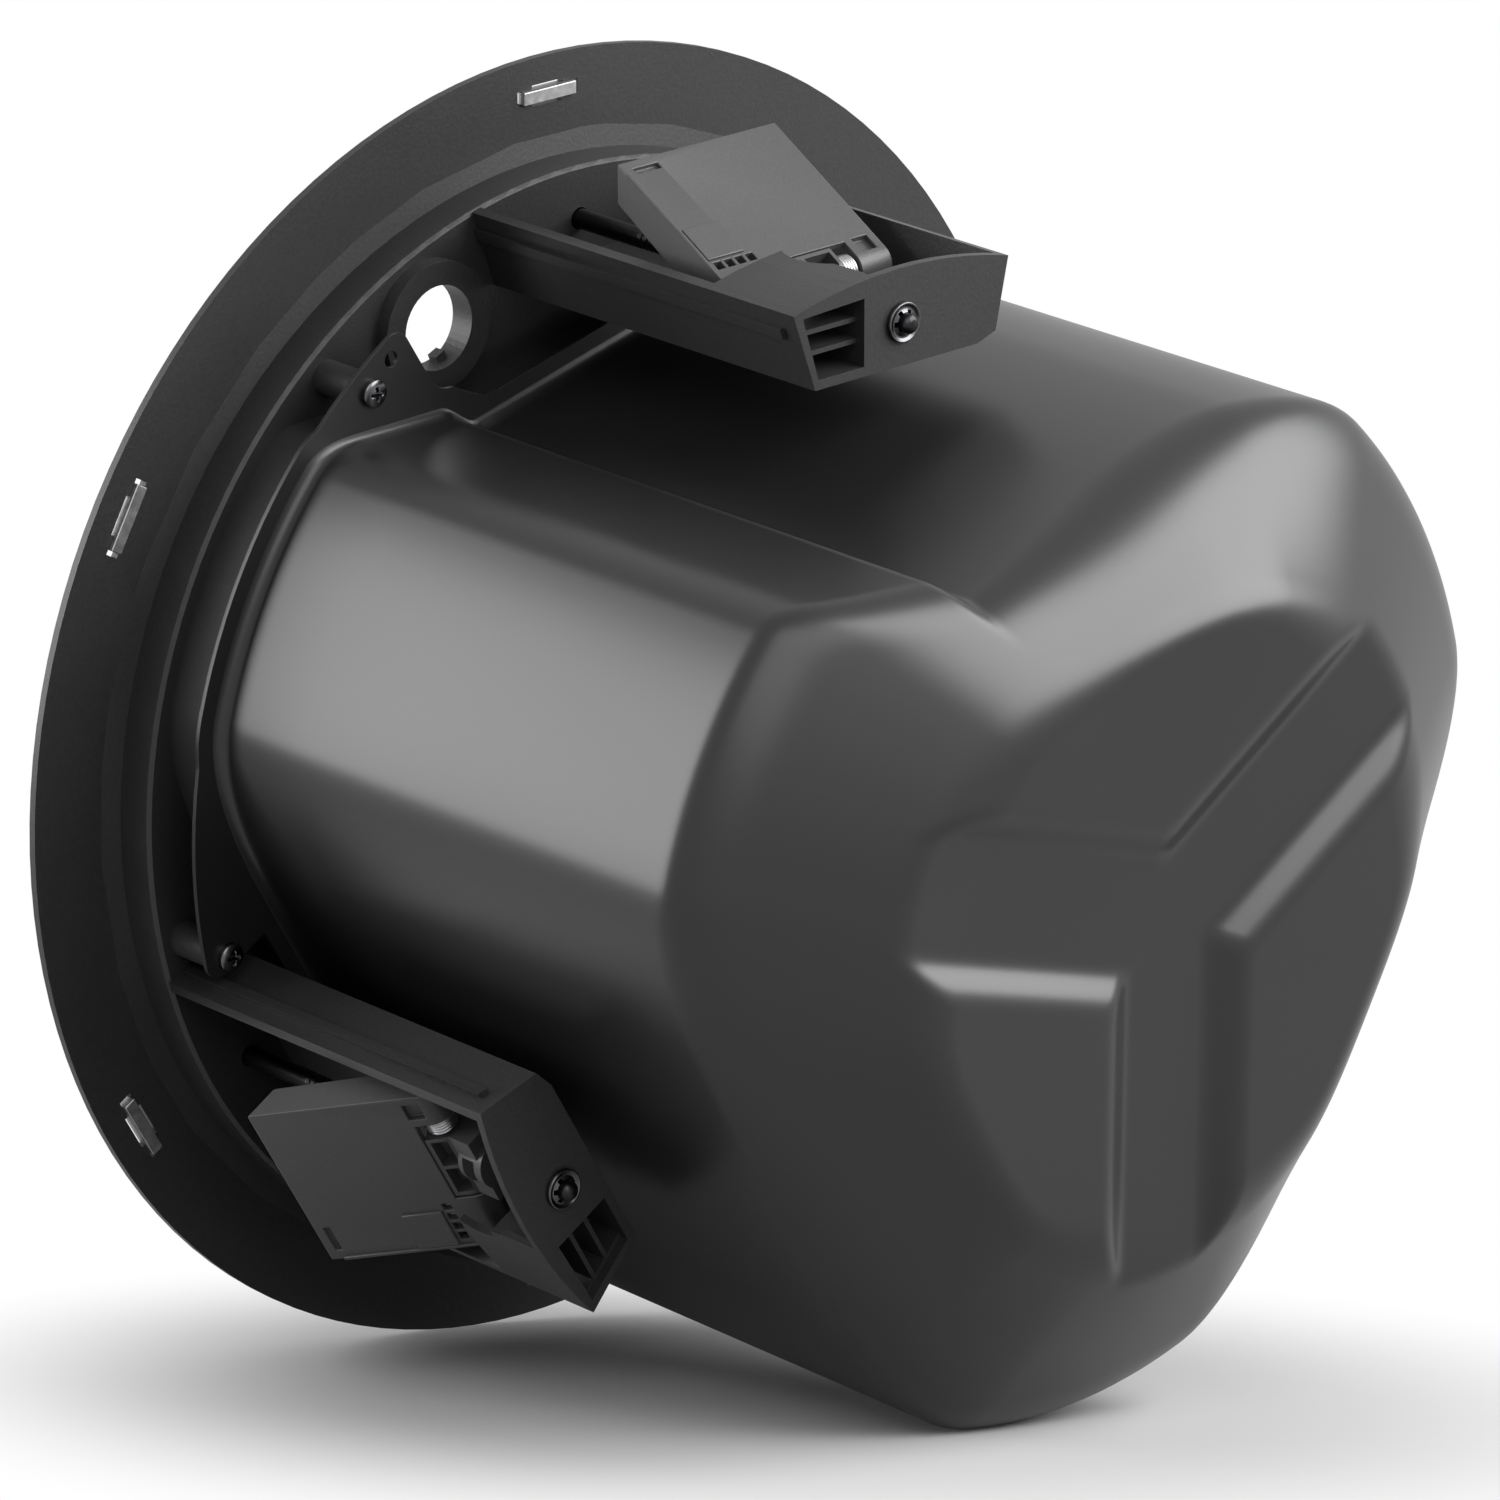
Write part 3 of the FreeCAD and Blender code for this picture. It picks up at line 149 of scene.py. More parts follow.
def metal(name, color, rough, scratch=0.12, stretch=(1, 1, 1), scale=600.0):
    """Plated metal with faint handling marks."""
    mat, tree, bsdf = shader(name, color, rough, 1.0)
    marks = noise(tree, scale, 4.0, stretch)
    dark = tuple(c * (1 - scratch) for c in color)
    tree.links.new(ramp(tree, marks, dark, color), bsdf.inputs["Base Color"])
    tree.links.new(span(tree, marks, rough * 0.8, rough * 1.3), bsdf.inputs["Roughness"])
    bump(tree, bsdf, marks, 0.000008)
    return mat


def woven(name, lo, hi, rough, threads):
    """Cloth or paper with a weave of crossed threads."""
    mat, tree, bsdf = shader(name, hi, rough)
    coords = tree.nodes.new("ShaderNodeTexCoord")
    waves = []
    for direction in ("X", "Y"):
        wave = tree.nodes.new("ShaderNodeTexWave")
        wave.bands_direction = direction
        wave.inputs["Scale"].default_value = threads
        wave.inputs["Distortion"].default_value = 1.0
        tree.links.new(coords.outputs["Object"], wave.inputs["Vector"])
        waves.append(wave.outputs["Fac"])
    mix = tree.nodes.new("ShaderNodeMath")
    mix.operation = "MULTIPLY"
    tree.links.new(waves[0], mix.inputs[0])
    tree.links.new(waves[1], mix.inputs[1])
    tree.links.new(ramp(tree, mix.outputs[0], lo, hi, 0.0, 0.8), bsdf.inputs["Base Color"])
    bump(tree, bsdf, mix.outputs[0], 0.0001)
    return mat


MOULDING = moulded("baffle_moulding", 0.014, 0.48, specular=0.35)
CARRIAGE = moulded("clamp_moulding", 0.045, 0.42, 1500.0, 0.00003, 0.1)
CAN_COAT = coated_can()
NICKEL = metal("black_nickel", (0.10, 0.10, 0.105), 0.22)
ROD = metal("black_oxide", (0.03, 0.03, 0.032), 0.3)
MAGNET = metal("magnet_plate", (0.36, 0.36, 0.36), 0.45, 0.2)
ZINC = metal("zinc", (0.45, 0.45, 0.46), 0.35, 0.2)
STEEL = metal("motor_steel", (0.42, 0.42, 0.43), 0.38, 0.2, (1, 1, 6))
FERRITE = moulded("ferrite", 0.045, 0.7, 500.0, 0.0001, 0.3)
ENAMEL = moulded("basket_enamel", 0.02, 0.35, 300.0, 0.00002, 0.1)
FOAM = moulded("foam", 0.02, 0.9, 1800.0, 0.0002, 0.5)
RUBBER = moulded("surround_rubber", 0.018, 0.55, 700.0, 0.00002, 0.2)
PAPER = woven("cone_fibre", grey(0.02), grey(0.06), 0.6, 260.0)
SPIDER = woven("spider_cloth", (0.25, 0.15, 0.05), (0.5, 0.33, 0.13), 0.85, 500.0)
SILK = woven("dome_silk", grey(0.012), grey(0.04), 0.5, 900.0)
COPPER = metal("copper_wire", (0.60, 0.26, 0.12), 0.3, 0.3, (1, 1, 12), 300.0)
BLACK = moulded("black_plastic", 0.015, 0.4, 1300.0, 0.00003, 0.2)
BOARD = moulded("board_mask", 0.05, 0.35, 250.0, 0.00002, 0.25)
FILM = moulded("film_can", 0.06, 0.3, 200.0, 0.00002, 0.2)

NODE_MATERIALS = {
    "baffle": MOULDING, "grille_magnets": MAGNET, "back_can": CAN_COAT, "can_gasket": FOAM,
    "can_screws": NICKEL,
    "woofer_basket": ENAMEL, "woofer_gasket": FOAM, "woofer_screws": NICKEL, "woofer_top_plate": STEEL,
    "woofer_magnet": FERRITE, "woofer_back_plate": STEEL, "woofer_cone": PAPER, "woofer_surround": RUBBER,
    "woofer_spider": SPIDER, "voice_coil": COPPER, "tweeter_post": STEEL, "tweeter_housing": BLACK,
    "tweeter_magnet": ZINC, "tweeter_dome": SILK, "crossover_standoffs": BLACK, "crossover_board": BOARD,
    "crossover_coils": COPPER, "crossover_capacitors": FILM, "terminal_block": BLACK,
}
for letter in TOWERS:
    NODE_MATERIALS["clamp_screw_" + letter] = NICKEL
    NODE_MATERIALS["clamp_washer_" + letter] = NICKEL
    NODE_MATERIALS["clamp_carriage_" + letter] = CARRIAGE
    NODE_MATERIALS["clamp_nut_" + letter] = ZINC
    NODE_MATERIALS["clamp_flap_" + letter] = CARRIAGE
    NODE_MATERIALS["clamp_spring_" + letter] = ZINC

for node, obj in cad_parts.items():
    obj.data.materials.clear()
    obj.data.materials.append(NODE_MATERIALS[node])


# Geometry helpers
def smooth_min(a, b, k):
    """Smaller of two arrays, blended over k where they meet."""
    h = np.clip(0.5 + 0.5 * (b - a) / k, 0, 1)
    return b * (1 - h) + a * h - k * h * (1 - h)


def smooth_max(a, b, k):
    """Larger of two arrays, blended over k where they meet."""
    return -smooth_min(-a, -b, k)


def add_grids(name, grids, material, sharp=40.0, closed=True):
    """Object from grids of rings, or of open rows, in millimetres; a ring of one point closes an end."""
    verts, faces = [], []
    for rings in grids:
        start = len(verts)
        for ring in rings:
            verts.extend(ring)
        for upper, lower in zip(rings, rings[1:]):
            a, b = start, start + len(upper)
            n, m = len(upper), len(lower)
            for i in range(max(n, m) - (0 if closed else 1)):
                j = (i + 1) % max(n, m)
                quad = [a + i % n, a + j % n, b + j % m, b + i % m]
                faces.append(tuple(dict.fromkeys(quad)))
            start = b
    return add_mesh(name, np.array(verts) * MM, faces, material, sharp)


def turn(profile, segments, centre=(0.0, 0.0)):
    """Rings of a turned form from (radius, height) pairs about an upright axis."""
    rings = []
    for r, z in profile:
        count = segments if r > 0 else 1
        angles = np.linspace(0, 2 * math.pi, count, endpoint=False)
        rings.append([(centre[0] + r * math.cos(a), centre[1] + r * math.sin(a), z) for a in angles])
    return rings


def tower_point(tower, t, r, z):
    """Place in a tower's own directions: t anticlockwise, r outwards."""
    c, s = math.cos(math.radians(tower)), math.sin(math.radians(tower))
    return (r * c - t * s, r * s + t * c, z)


def add_mesh(name, verts, faces, material, sharp=40.0):
    """Object from vertices in metres and faces, shaded smooth up to an edge angle."""
    mesh = bpy.data.meshes.new(name)
    mesh.from_pydata([tuple(v) for v in verts], [], faces)
    mesh.update()
    obj = bpy.data.objects.new(name, mesh)
    bpy.context.scene.collection.objects.link(obj)
    mesh.materials.append(material)
    shade(obj, sharp)
    return obj


def shade(obj, sharp=40.0):
    """Smooth shading with edges over an angle kept sharp."""
    obj.data.polygons.foreach_set("use_smooth", [True] * len(obj.data.polygons))
    obj.data.set_sharp_from_angle(angle=math.radians(sharp))


def refined(node, body, width, name=None):
    """Copy of a CAD node with flat areas merged and its edges rounded."""
    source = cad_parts[node]
    mesh = source.data.copy()
    obj = bpy.data.objects.new(name or node + "_finish", mesh)
    bpy.context.scene.collection.objects.link(obj)
    work = bmesh.new()
    work.from_mesh(mesh)
    bmesh.ops.remove_doubles(work, verts=work.verts, dist=2e-6)
    bmesh.ops.dissolve_limit(work, angle_limit=math.radians(1.0), verts=work.verts, edges=work.edges)
    work.to_mesh(mesh)
    work.free()
    mesh.materials.clear()
    mesh.materials.append(NODE_MATERIALS[node])
    bevel = obj.modifiers.new("edges", "BEVEL")
    bevel.width = width
    bevel.segments = 2
    bevel.limit_method = "ANGLE"
    bevel.angle_limit = math.radians(35)
    bevel.harden_normals = True
    bevel.use_clamp_overlap = True
    shade(obj, 35)
    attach(obj, body)
    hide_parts(node)
    return obj


# Back can
def line_radius(distance, normal, angle):
    """Radius at angles of a line that lies at a distance along its normal."""
    c = np.cos(np.radians(angle - normal))
    return np.where(c > 0.05, distance / np.maximum(c, 0.05), 20.0 * distance)


def lobed_radius(angle):
    """Three-lobed outline of the can before its scoop."""
    r = np.full_like(angle, LOBE_R)
    for tower in TOWERS.values():
        r = smooth_min(r, line_radius(FLAT_D, tower, angle), CORNER_SOFT)
    return r


def wall_radius(angle):
    """Can wall at angles."""
    scoop = line_radius(SCOOP_D, SCOOP_ANGLE, angle)
    side = line_radius(SIDE_D, SIDE_ANGLE, angle)
    beside = smooth_min(side, line_radius(STEP_D, STEP_ANGLE, angle), SCOOP_SOFT)
    return smooth_min(lobed_radius(angle), smooth_max(scoop, beside, SCOOP_SOFT), SCOOP_SOFT)


def plateau_radius(angle):
    """Outline of the can's flat rear at angles."""
    r = np.full_like(angle, PLATEAU_R)
    for tower in TOWERS.values():
        r = smooth_min(r, line_radius(PLATEAU_FLAT_D, tower, angle), PLATEAU_SOFT)
    return smooth_min(r, line_radius(PLATEAU_SCOOP_D, SCOOP_ANGLE, angle), PLATEAU_SOFT)


def y_height(x, y):
    """Height of the sunken Y's floor and sides over a place."""
    slope = Y_DEPTH / (Y_MOUTH_HALF - Y_FLOOR_HALF)
    side = np.full_like(x, 1e3)
    for angle in Y_ANGLES:
        c, s = math.cos(math.radians(angle)), math.sin(math.radians(angle))
        along = x * c + (y - Y_CENTRE_Y) * s
        across = np.abs(-x * s + (y - Y_CENTRE_Y) * c)
        away = np.where(along > 0, across, np.hypot(along, across))
        side = smooth_min(side, away, 3.0)
    return CAN_REAR_Z - Y_DEPTH + smooth_max(side - Y_FLOOR_HALF, np.zeros_like(side), 2.5) * slope


def build_can():
    """Drawn can: wall, shoulder, rear plateau and sunken Y as one grid of the formula's points."""
    angle = np.linspace(0, 360, CAN_COLUMNS, endpoint=False)
    wall, lobed, top = wall_radius(angle), lobed_radius(angle), plateau_radius(angle)
    levels = [PLATE_TOP_Z - 0.3] + [PLATE_TOP_Z + FOOT_R * t for t in (0, 0.08, 0.25, 0.55, 1.0)]
    levels += [60, 95, 130, 155, 168]
    levels += list(np.arange(175, 215, 1.25)) + list(np.arange(215, 234, 0.7))
    rows = []
    for z in levels:
        slope = top + (lobed - top) * (CAN_REAR_Z - z) / SHOULDER_H
        r = smooth_min(wall, slope, SHOULDER_SOFT)
        lift = min(max(1 - (z - PLATE_TOP_Z) / FOOT_R, 0.0), 1.0)
        r = r + FOOT_R * (1 - math.sqrt(max(1 - lift * lift, 0.0)))
        rows.append((r, np.full_like(r, z)))
    last = rows[-1][0]
    for t in np.linspace(1, 0, 40)[1:-1]:
        rows.append((last * t, np.full_like(last, 260.0)))
    c, s = np.cos(np.radians(angle)), np.sin(np.radians(angle))
    rings = []
    for r, z in rows:
        x, y = r * c, r * s
        h = smooth_min(z, np.full_like(z, CAN_REAR_Z), REAR_EDGE_SOFT)
        h = smooth_min(h, y_height(x, y), 2.0)
        rings.append(list(zip(x, y, h)))
    rings.append([(0.0, 0.0, CAN_REAR_Z - Y_DEPTH)])
    can = add_grids("can_shell", [rings], CAN_COAT, 60)
    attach(can, "frame")
    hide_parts("back_can")


def build_plate():
    """Mounting plate of the can: the solid's own plate with its edges rounded."""
    plate = refined("back_can", "frame", 0.0002, "can_plate")
    work = bmesh.new()
    work.from_mesh(plate.data)
    limit = (PLATE_TOP_Z + 0.05) * MM
    upper = [f for f in work.faces if max(v.co.z for v in f.verts) > limit]
    bmesh.ops.delete(work, geom=upper, context="FACES")
    work.to_mesh(plate.data)
    work.free()
    shade(plate, 35)


build_can()
build_plate()

# The flange's taper meets its flat ring at a slight angle, so the baffle keeps that edge sharp.
TAPER_EDGE = 12
shade(refined("baffle", "frame", 0.00035), TAPER_EDGE)

REFINED = {"grille_magnets": ("frame", 0.0003), "terminal_block": ("frame", 0.0003),
           "tweeter_housing": ("frame", 0.0003), "woofer_basket": ("frame", 0.0002)}
for letter in TOWERS:
    REFINED["clamp_carriage_" + letter] = ("carriage_" + letter, 0.0002)
    REFINED["clamp_flap_" + letter] = ("barb_" + letter, 0.0003)
for node, (body, width) in REFINED.items():
    refined(node, body, width)


# Screws, washers and springs
SCREW_R, SCREW_PITCH_R, SCREW_HEAD_R, SCREW_HEAD_H = 2.5, 126.1, 4.6, 3.4
SHELF_FRONT_Z, TOWER_REAR_Z, SCREW_TIP, THREAD_PITCH, THREAD_DEPTH = 11.5, 127.0, 4.0, 2.0, 0.3
THREAD_FROM, THREAD_TO = 26.0, 104.0
HINGE_R, HINGE_Z, FLAP_ANGLE, FLAP_TOP = 128.0, 93.3, 30.0, 4.8
SPRING_R, WIRE_R, SPRING_T = 3.6, 0.42, (-10.72, -14.28)


def screw_rings(centre, under_z, up, head_r, head_h, shank_r, shank_len, pitch=0.0):
    """Pan-head screw with a cross recess, and a thread where a pitch is given."""
    angles = np.linspace(0, 2 * math.pi, 48, endpoint=False)
    c, s = np.cos(angles), np.sin(angles)
    rows = []
    for k in range(1, 19):
        r = head_r * math.sin(k / 18 * math.pi / 2)
        crown = head_h * (0.55 + 0.45 * math.sqrt(max(1 - (r / head_r) ** 2, 0.0)))
        across, along = np.minimum(abs(r * c), abs(r * s)), np.maximum(abs(r * c), abs(r * s))
        inside = np.minimum(head_r * 0.13 - across, head_r * 0.56 - along)
        depth = head_h * 0.6 * np.clip(inside / (head_r * 0.08), 0, 1) * (1 - 0.6 * along / head_r)
        rows.append((np.full_like(c, r), crown - depth))
    rows += [(np.full_like(c, head_r), np.full_like(c, z)) for z in (head_h * 0.3, 0.0)]
    count = int(shank_len / pitch * 8) if pitch else 2
    tip = shank_r * 0.6
    for z in np.linspace(0.0, shank_len, count + 1):
        cut = THREAD_DEPTH * min(max(min(z - THREAD_FROM, THREAD_TO - z), 0.0), 1.0)
        groove = 2 * np.abs((z / pitch - angles / (2 * math.pi)) % 1 - 0.5) * cut if pitch else 0.0
        point = max(z - (shank_len - tip), 0.0) / tip
        rows.append(((shank_r - groove) * math.sqrt(max(1 - 0.8 * point ** 2, 0.0)), np.full_like(c, -z)))
    rings = [[(centre[0], centre[1], under_z + up * head_h * 0.4)]]
    rings += [list(zip(centre[0] + r * c, centre[1] + r * s, under_z + up * z)) for r, z in rows]
    return rings + [[(centre[0], centre[1], under_z - up * shank_len)]]


def polar(radius, angle):
    """Place at a radius and an angle round the speaker's axis."""
    return (radius * math.cos(math.radians(angle)), radius * math.sin(math.radians(angle)))


CAN_SCREW_PITCH_R, CAN_SCREW_ANGLE, SCOOP_SCREW_ANGLE, CAN_SCREW = 132.0, 18.2, 38.2, (3.5, 2.2, 1.75, 11.7)
can_screw_angles = [90 + SCOOP_SCREW_ANGLE, 90 - CAN_SCREW_ANGLE, 210 + CAN_SCREW_ANGLE,
                    210 - CAN_SCREW_ANGLE, 330 + CAN_SCREW_ANGLE, 330 - CAN_SCREW_ANGLE]
can_screws = add_grids("can_screw_set", [screw_rings(polar(CAN_SCREW_PITCH_R, a), PLATE_TOP_Z, 1, *CAN_SCREW)
                                         for a in can_screw_angles], NICKEL, 50)
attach(can_screws, "frame")
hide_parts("can_screws")
RIM_GASKET_T, RIM_T, WOOFER_SCREWS, WOOFER_SCREW_PITCH_R = 0.8, 1.6, 8, 99.2
WOOFER_SCREW = (3.4, 2.2, 1.75, 5.1)
RIM_FRONT_Z = SHELF_FRONT_Z - RIM_GASKET_T - RIM_T
woofer_screw_places = [polar(WOOFER_SCREW_PITCH_R, k * 360.0 / WOOFER_SCREWS) for k in range(WOOFER_SCREWS)]
woofer_screws = add_grids("woofer_screw_set", [screw_rings(place, RIM_FRONT_Z, -1, *WOOFER_SCREW)
                                               for place in woofer_screw_places], NICKEL, 50)
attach(woofer_screws, "frame")
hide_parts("woofer_screws")


def washer_rings(centre, z):
    """Push-on washer: a raised rim, a dish and six tabs that bite on the screw."""
    angles = np.linspace(0, 2 * math.pi, 96, endpoint=False)
    gap = np.clip(np.cos(6 * angles) * 6, 0, 1)
    profile = [(5.0, 0.0), (5.0, 0.85), (4.85, 1.0), (4.5, 1.0), (4.25, 0.75), (3.9, 0.45), (3.4, 0.5)]
    rings = [[(centre[0] + r * math.cos(a), centre[1] + r * math.sin(a), z + h) for a in angles]
             for r, h in profile]
    for reach, h in ((2.55, 0.95), (2.55, 0.75)):
        r = reach + 0.75 * gap
        tip = h - 0.4 * gap
        rings.append(list(zip(centre[0] + r * np.cos(angles), centre[1] + r * np.sin(angles), z + tip)))
    rings.append([(centre[0] + 3.4 * math.cos(a), centre[1] + 3.4 * math.sin(a), z + 0.2) for a in angles])
    rings.append([(centre[0] + 5.0 * math.cos(a), centre[1] + 5.0 * math.sin(a), z) for a in angles])
    return rings


def helix(name, tower):
    """Torsion spring: close turns round the trunnion, each end run out as a leg."""
    points = [tower_point(tower, SPRING_T[0], HINGE_R - 4.0, HINGE_Z - SPRING_R)]
    turns = 4.5
    for k in range(int(turns * 20) + 1):
        angle = k / 20 * 2 * math.pi - math.pi / 2
        t = SPRING_T[0] + (SPRING_T[1] - SPRING_T[0]) * k / (turns * 20)
        out, up = SPRING_R * math.cos(angle), SPRING_R * math.sin(angle)
        points.append(tower_point(tower, t, HINGE_R + out, HINGE_Z + up))
    points.append(tower_point(tower, SPRING_T[1], HINGE_R - 4.0, HINGE_Z + SPRING_R))
    curve = bpy.data.curves.new(name, "CURVE")
    curve.dimensions = "3D"
    curve.bevel_depth = WIRE_R * MM
    curve.bevel_resolution = 3
    curve.use_fill_caps = True
    spline = curve.splines.new("POLY")
    spline.points.add(len(points) - 1)
    for point, place in zip(spline.points, points):
        point.co = (place[0] * MM, place[1] * MM, place[2] * MM, 1)
    spline.use_smooth = True
    curve.materials.append(ZINC)
    obj = bpy.data.objects.new(name, curve)
    bpy.context.scene.collection.objects.link(obj)
    return obj


def flap_point(tower, x, y, z):
    """Place on an open flap: x across it clockwise, y off its skin from the hinge line, z along it."""
    c, s = math.cos(math.radians(FLAP_ANGLE)), math.sin(math.radians(FLAP_ANGLE))
    return tower_point(tower, -x, HINGE_R + y * c - z * s, HINGE_Z + y * s + z * c)


def flap_block(name, tower, x, y, z, width):
    """Low raised block on a flap between pairs of bounds, with rounded edges."""
    corners = [flap_point(tower, a, b, c) for c in z for b in y for a in x]
    faces = [(0, 2, 3, 1), (4, 5, 7, 6), (0, 1, 5, 4), (2, 6, 7, 3), (0, 4, 6, 2), (1, 3, 7, 5)]
    obj = add_mesh(name, np.array(corners) * MM, faces, CARRIAGE)
    bevel = obj.modifiers.new("edges", "BEVEL")
    bevel.width = width
    bevel.segments = 2
    return obj


# Bounds of the pad and the lip on each flap: across, off the skin and along, then the edges' width
PAD = ((-25.3, -13.6), (FLAP_TOP - 0.5, FLAP_TOP + 0.7), (-20.5, -9.8), 0.00025)
LIP = ((-26.4, -25.5), (FLAP_TOP - 0.5, FLAP_TOP + 0.6), (-41.0, -2.0), 0.0002)
for letter, tower in TOWERS.items():
    pad = flap_block("flap_pad_" + letter, tower, *PAD)
    lip = flap_block("flap_lip_" + letter, tower, *LIP)
    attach(pad, "barb_" + letter)
    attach(lip, "barb_" + letter)

for letter, tower in TOWERS.items():
    place = polar(SCREW_PITCH_R, tower)
    length = TOWER_REAR_Z + SCREW_TIP - SHELF_FRONT_Z
    rings = screw_rings(place, SHELF_FRONT_Z, -1, SCREW_HEAD_R, SCREW_HEAD_H, SCREW_R, length, THREAD_PITCH)
    screw = add_grids("rod_" + letter, [rings], ROD, 50)
    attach(screw, "screw_" + letter)
    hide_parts("clamp_screw_" + letter)
    washer = add_grids("push_washer_" + letter, [washer_rings(place, TOWER_REAR_Z + 0.3)], NICKEL, 50)
    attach(washer, "screw_" + letter)
    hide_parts("clamp_washer_" + letter)
    spring = helix("spring_" + letter, tower)
    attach(spring, "carriage_" + letter)
    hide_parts("clamp_spring_" + letter)


# Woofer and tweeter
SEAT_Z, CONE_EDGE_R, CONE_NECK_Z, COIL_R, CONE_FLARE, CONE_T = 14.1, 74.4, 58.6, 19.6, 3.0, 0.9
ROLL_IN_R, ROLL_OUT_R, ROLL_R, SURROUND_T, SURROUND_LIP, SURROUND_SEAT_R = 74.8, 84.0, 4.6, 0.8, 3.4, 91.1
SPIDER_Z, SPIDER_SEAT_R, SPIDER_OUT_R, SPIDER_T, SPIDER_WAVES, SPIDER_H = 62.0, 41.0, 50.0, 0.6, 3, 2.4
DOME_Z, DOME_R, DOME_RISE, DOME_EDGE_R, DOME_T = 14.2, 12.7, 4.2, 19.7, 0.5
SECTORS, SECTOR_STEPS = 24, 10


def closed_profile(front, thickness):
    """Section of a sheet from its front line: out along it and back behind it, ended where it began."""
    return front + [(r, z + thickness) for r, z in reversed(front)] + front[:1]


def cone_line():
    """Front of the flared cone, from the coil to the surround."""
    line = []
    for u in np.linspace(0, 1, 17):
        z = CONE_NECK_Z + (SEAT_Z - CONE_NECK_Z) * u + CONE_FLARE * 4 * u * (1 - u)
        line.append((COIL_R + (CONE_EDGE_R - COIL_R) * u, z))
    return line


def surround_line():
    """Front of the half roll with its two lips."""
    middle = (ROLL_IN_R + ROLL_OUT_R) / 2
    over = ROLL_R + SURROUND_T
    front = SEAT_Z - SURROUND_T
    roll = [(middle - over * math.cos(a), front - ROLL_R * math.sin(a)) for a in np.linspace(0, math.pi, 19)]
    return [(ROLL_IN_R - SURROUND_LIP, front)] + roll + [(SURROUND_SEAT_R, front)]


def spider_line():
    """Front of the corrugated spider."""
    radii = np.linspace(COIL_R, SPIDER_SEAT_R, 49)
    turns = (radii - COIL_R) / (SPIDER_SEAT_R - COIL_R) * SPIDER_WAVES
    wave = (1 - np.cos(turns * 2 * math.pi)) / 2 * SPIDER_H
    return list(zip(radii, SPIDER_Z - SPIDER_T - wave)) + [(SPIDER_OUT_R, SPIDER_Z - SPIDER_T)]


def suspension(node, line, thickness, material):
    """Ring of sectors of a turned sheet, set in place of a CAD node."""
    section = closed_profile(line, thickness)
    span_angle = 2 * math.pi / SECTORS
    for k in range(SECTORS):
        middle = k * span_angle
        angles = np.linspace(middle - span_angle / 2, middle + span_angle / 2, SECTOR_STEPS + 1)
        rows = [[(r * math.cos(a), r * math.sin(a), z) for a in angles] for r, z in section]
        piece = add_grids("%s_%02d" % (node, k), [rows], material, 50, False)
        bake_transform(piece)
        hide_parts(node)


cone = add_grids("cone_sheet", [turn(closed_profile(cone_line(), CONE_T), 144)], PAPER, 50)
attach(cone, "cone")
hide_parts("woofer_cone")
suspension("woofer_surround", surround_line(), SURROUND_T, RUBBER)
suspension("woofer_spider", spider_line(), SPIDER_T, SPIDER)

sphere_r = (DOME_R ** 2 + DOME_RISE ** 2) / (2 * DOME_RISE)
dome_line = [(sphere_r * math.sin(a), DOME_Z - DOME_RISE + sphere_r * (1 - math.cos(a)))
             for a in np.linspace(0, math.asin(DOME_R / sphere_r), 13)] + [(DOME_EDGE_R, DOME_Z)]
dome = add_grids("dome_sheet", [turn(closed_profile(dome_line, DOME_T), 72)], SILK, 50)
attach(dome, "frame")
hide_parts("tweeter_dome")


# Stage, light and camera
def seen_directly(tree):
    """1 for camera, mirror and see-through rays, which show the white background, and 0 for the rest."""
    path = tree.nodes.new("ShaderNodeLightPath")
    total = path.outputs["Is Camera Ray"]
    for ray in ("Is Glossy Ray", "Is Transmission Ray"):
        add = tree.nodes.new("ShaderNodeMath")
        add.operation = "MAXIMUM"
        tree.links.new(total, add.inputs[0])
        tree.links.new(path.outputs[ray], add.inputs[1])
        total = add.outputs[0]
    return total


def floor_material(name, level, centre, near, far):
    """Pale matt floor that runs out to the background's white and is clear from underneath."""
    mat, tree, bsdf = shader(name, (level, level, level), 0.9)
    bsdf.inputs["Specular IOR Level"].default_value = 0.1
    coords = tree.nodes.new("ShaderNodeTexCoord")
    reach = tree.nodes.new("ShaderNodeVectorMath")
    reach.operation = "DISTANCE"
    reach.inputs[1].default_value = centre
    tree.links.new(coords.outputs["Object"], reach.inputs[0])
    fade = tree.nodes.new("ShaderNodeMapRange")
    fade.interpolation_type = "SMOOTHSTEP"
    fade.inputs["From Min"].default_value = near
    fade.inputs["From Max"].default_value = far
    tree.links.new(reach.outputs["Value"], fade.inputs["Value"])
    factor = tree.nodes.new("ShaderNodeMath")
    factor.operation = "MULTIPLY"
    tree.links.new(fade.outputs["Result"], factor.inputs[0])
    tree.links.new(seen_directly(tree), factor.inputs[1])
    white = tree.nodes.new("ShaderNodeEmission")
    mix = tree.nodes.new("ShaderNodeMixShader")
    tree.links.new(factor.outputs[0], mix.inputs[0])
    tree.links.new(bsdf.outputs[0], mix.inputs[1])
    tree.links.new(white.outputs[0], mix.inputs[2])
    side = tree.nodes.new("ShaderNodeNewGeometry")
    clear = tree.nodes.new("ShaderNodeBsdfTransparent")
    sheet = tree.nodes.new("ShaderNodeMixShader")
    tree.links.new(side.outputs["Backfacing"], sheet.inputs[0])
    tree.links.new(mix.outputs[0], sheet.inputs[1])
    tree.links.new(clear.outputs[0], sheet.inputs[2])
    tree.links.new(sheet.outputs[0], tree.nodes["Material Output"].inputs["Surface"])
    return mat


def plane(name, centre, normal, half, material):
    """Square sheet facing a direction."""
    facing = Vector(normal).normalized().to_track_quat("Z", "Y").to_matrix()
    corners = [Vector(centre) + facing @ Vector((x * half, y * half, 0))
               for x, y in ((-1, -1), (1, -1), (1, 1), (-1, 1))]
    obj = add_mesh(name, corners, [(0, 1, 2, 3)], material)


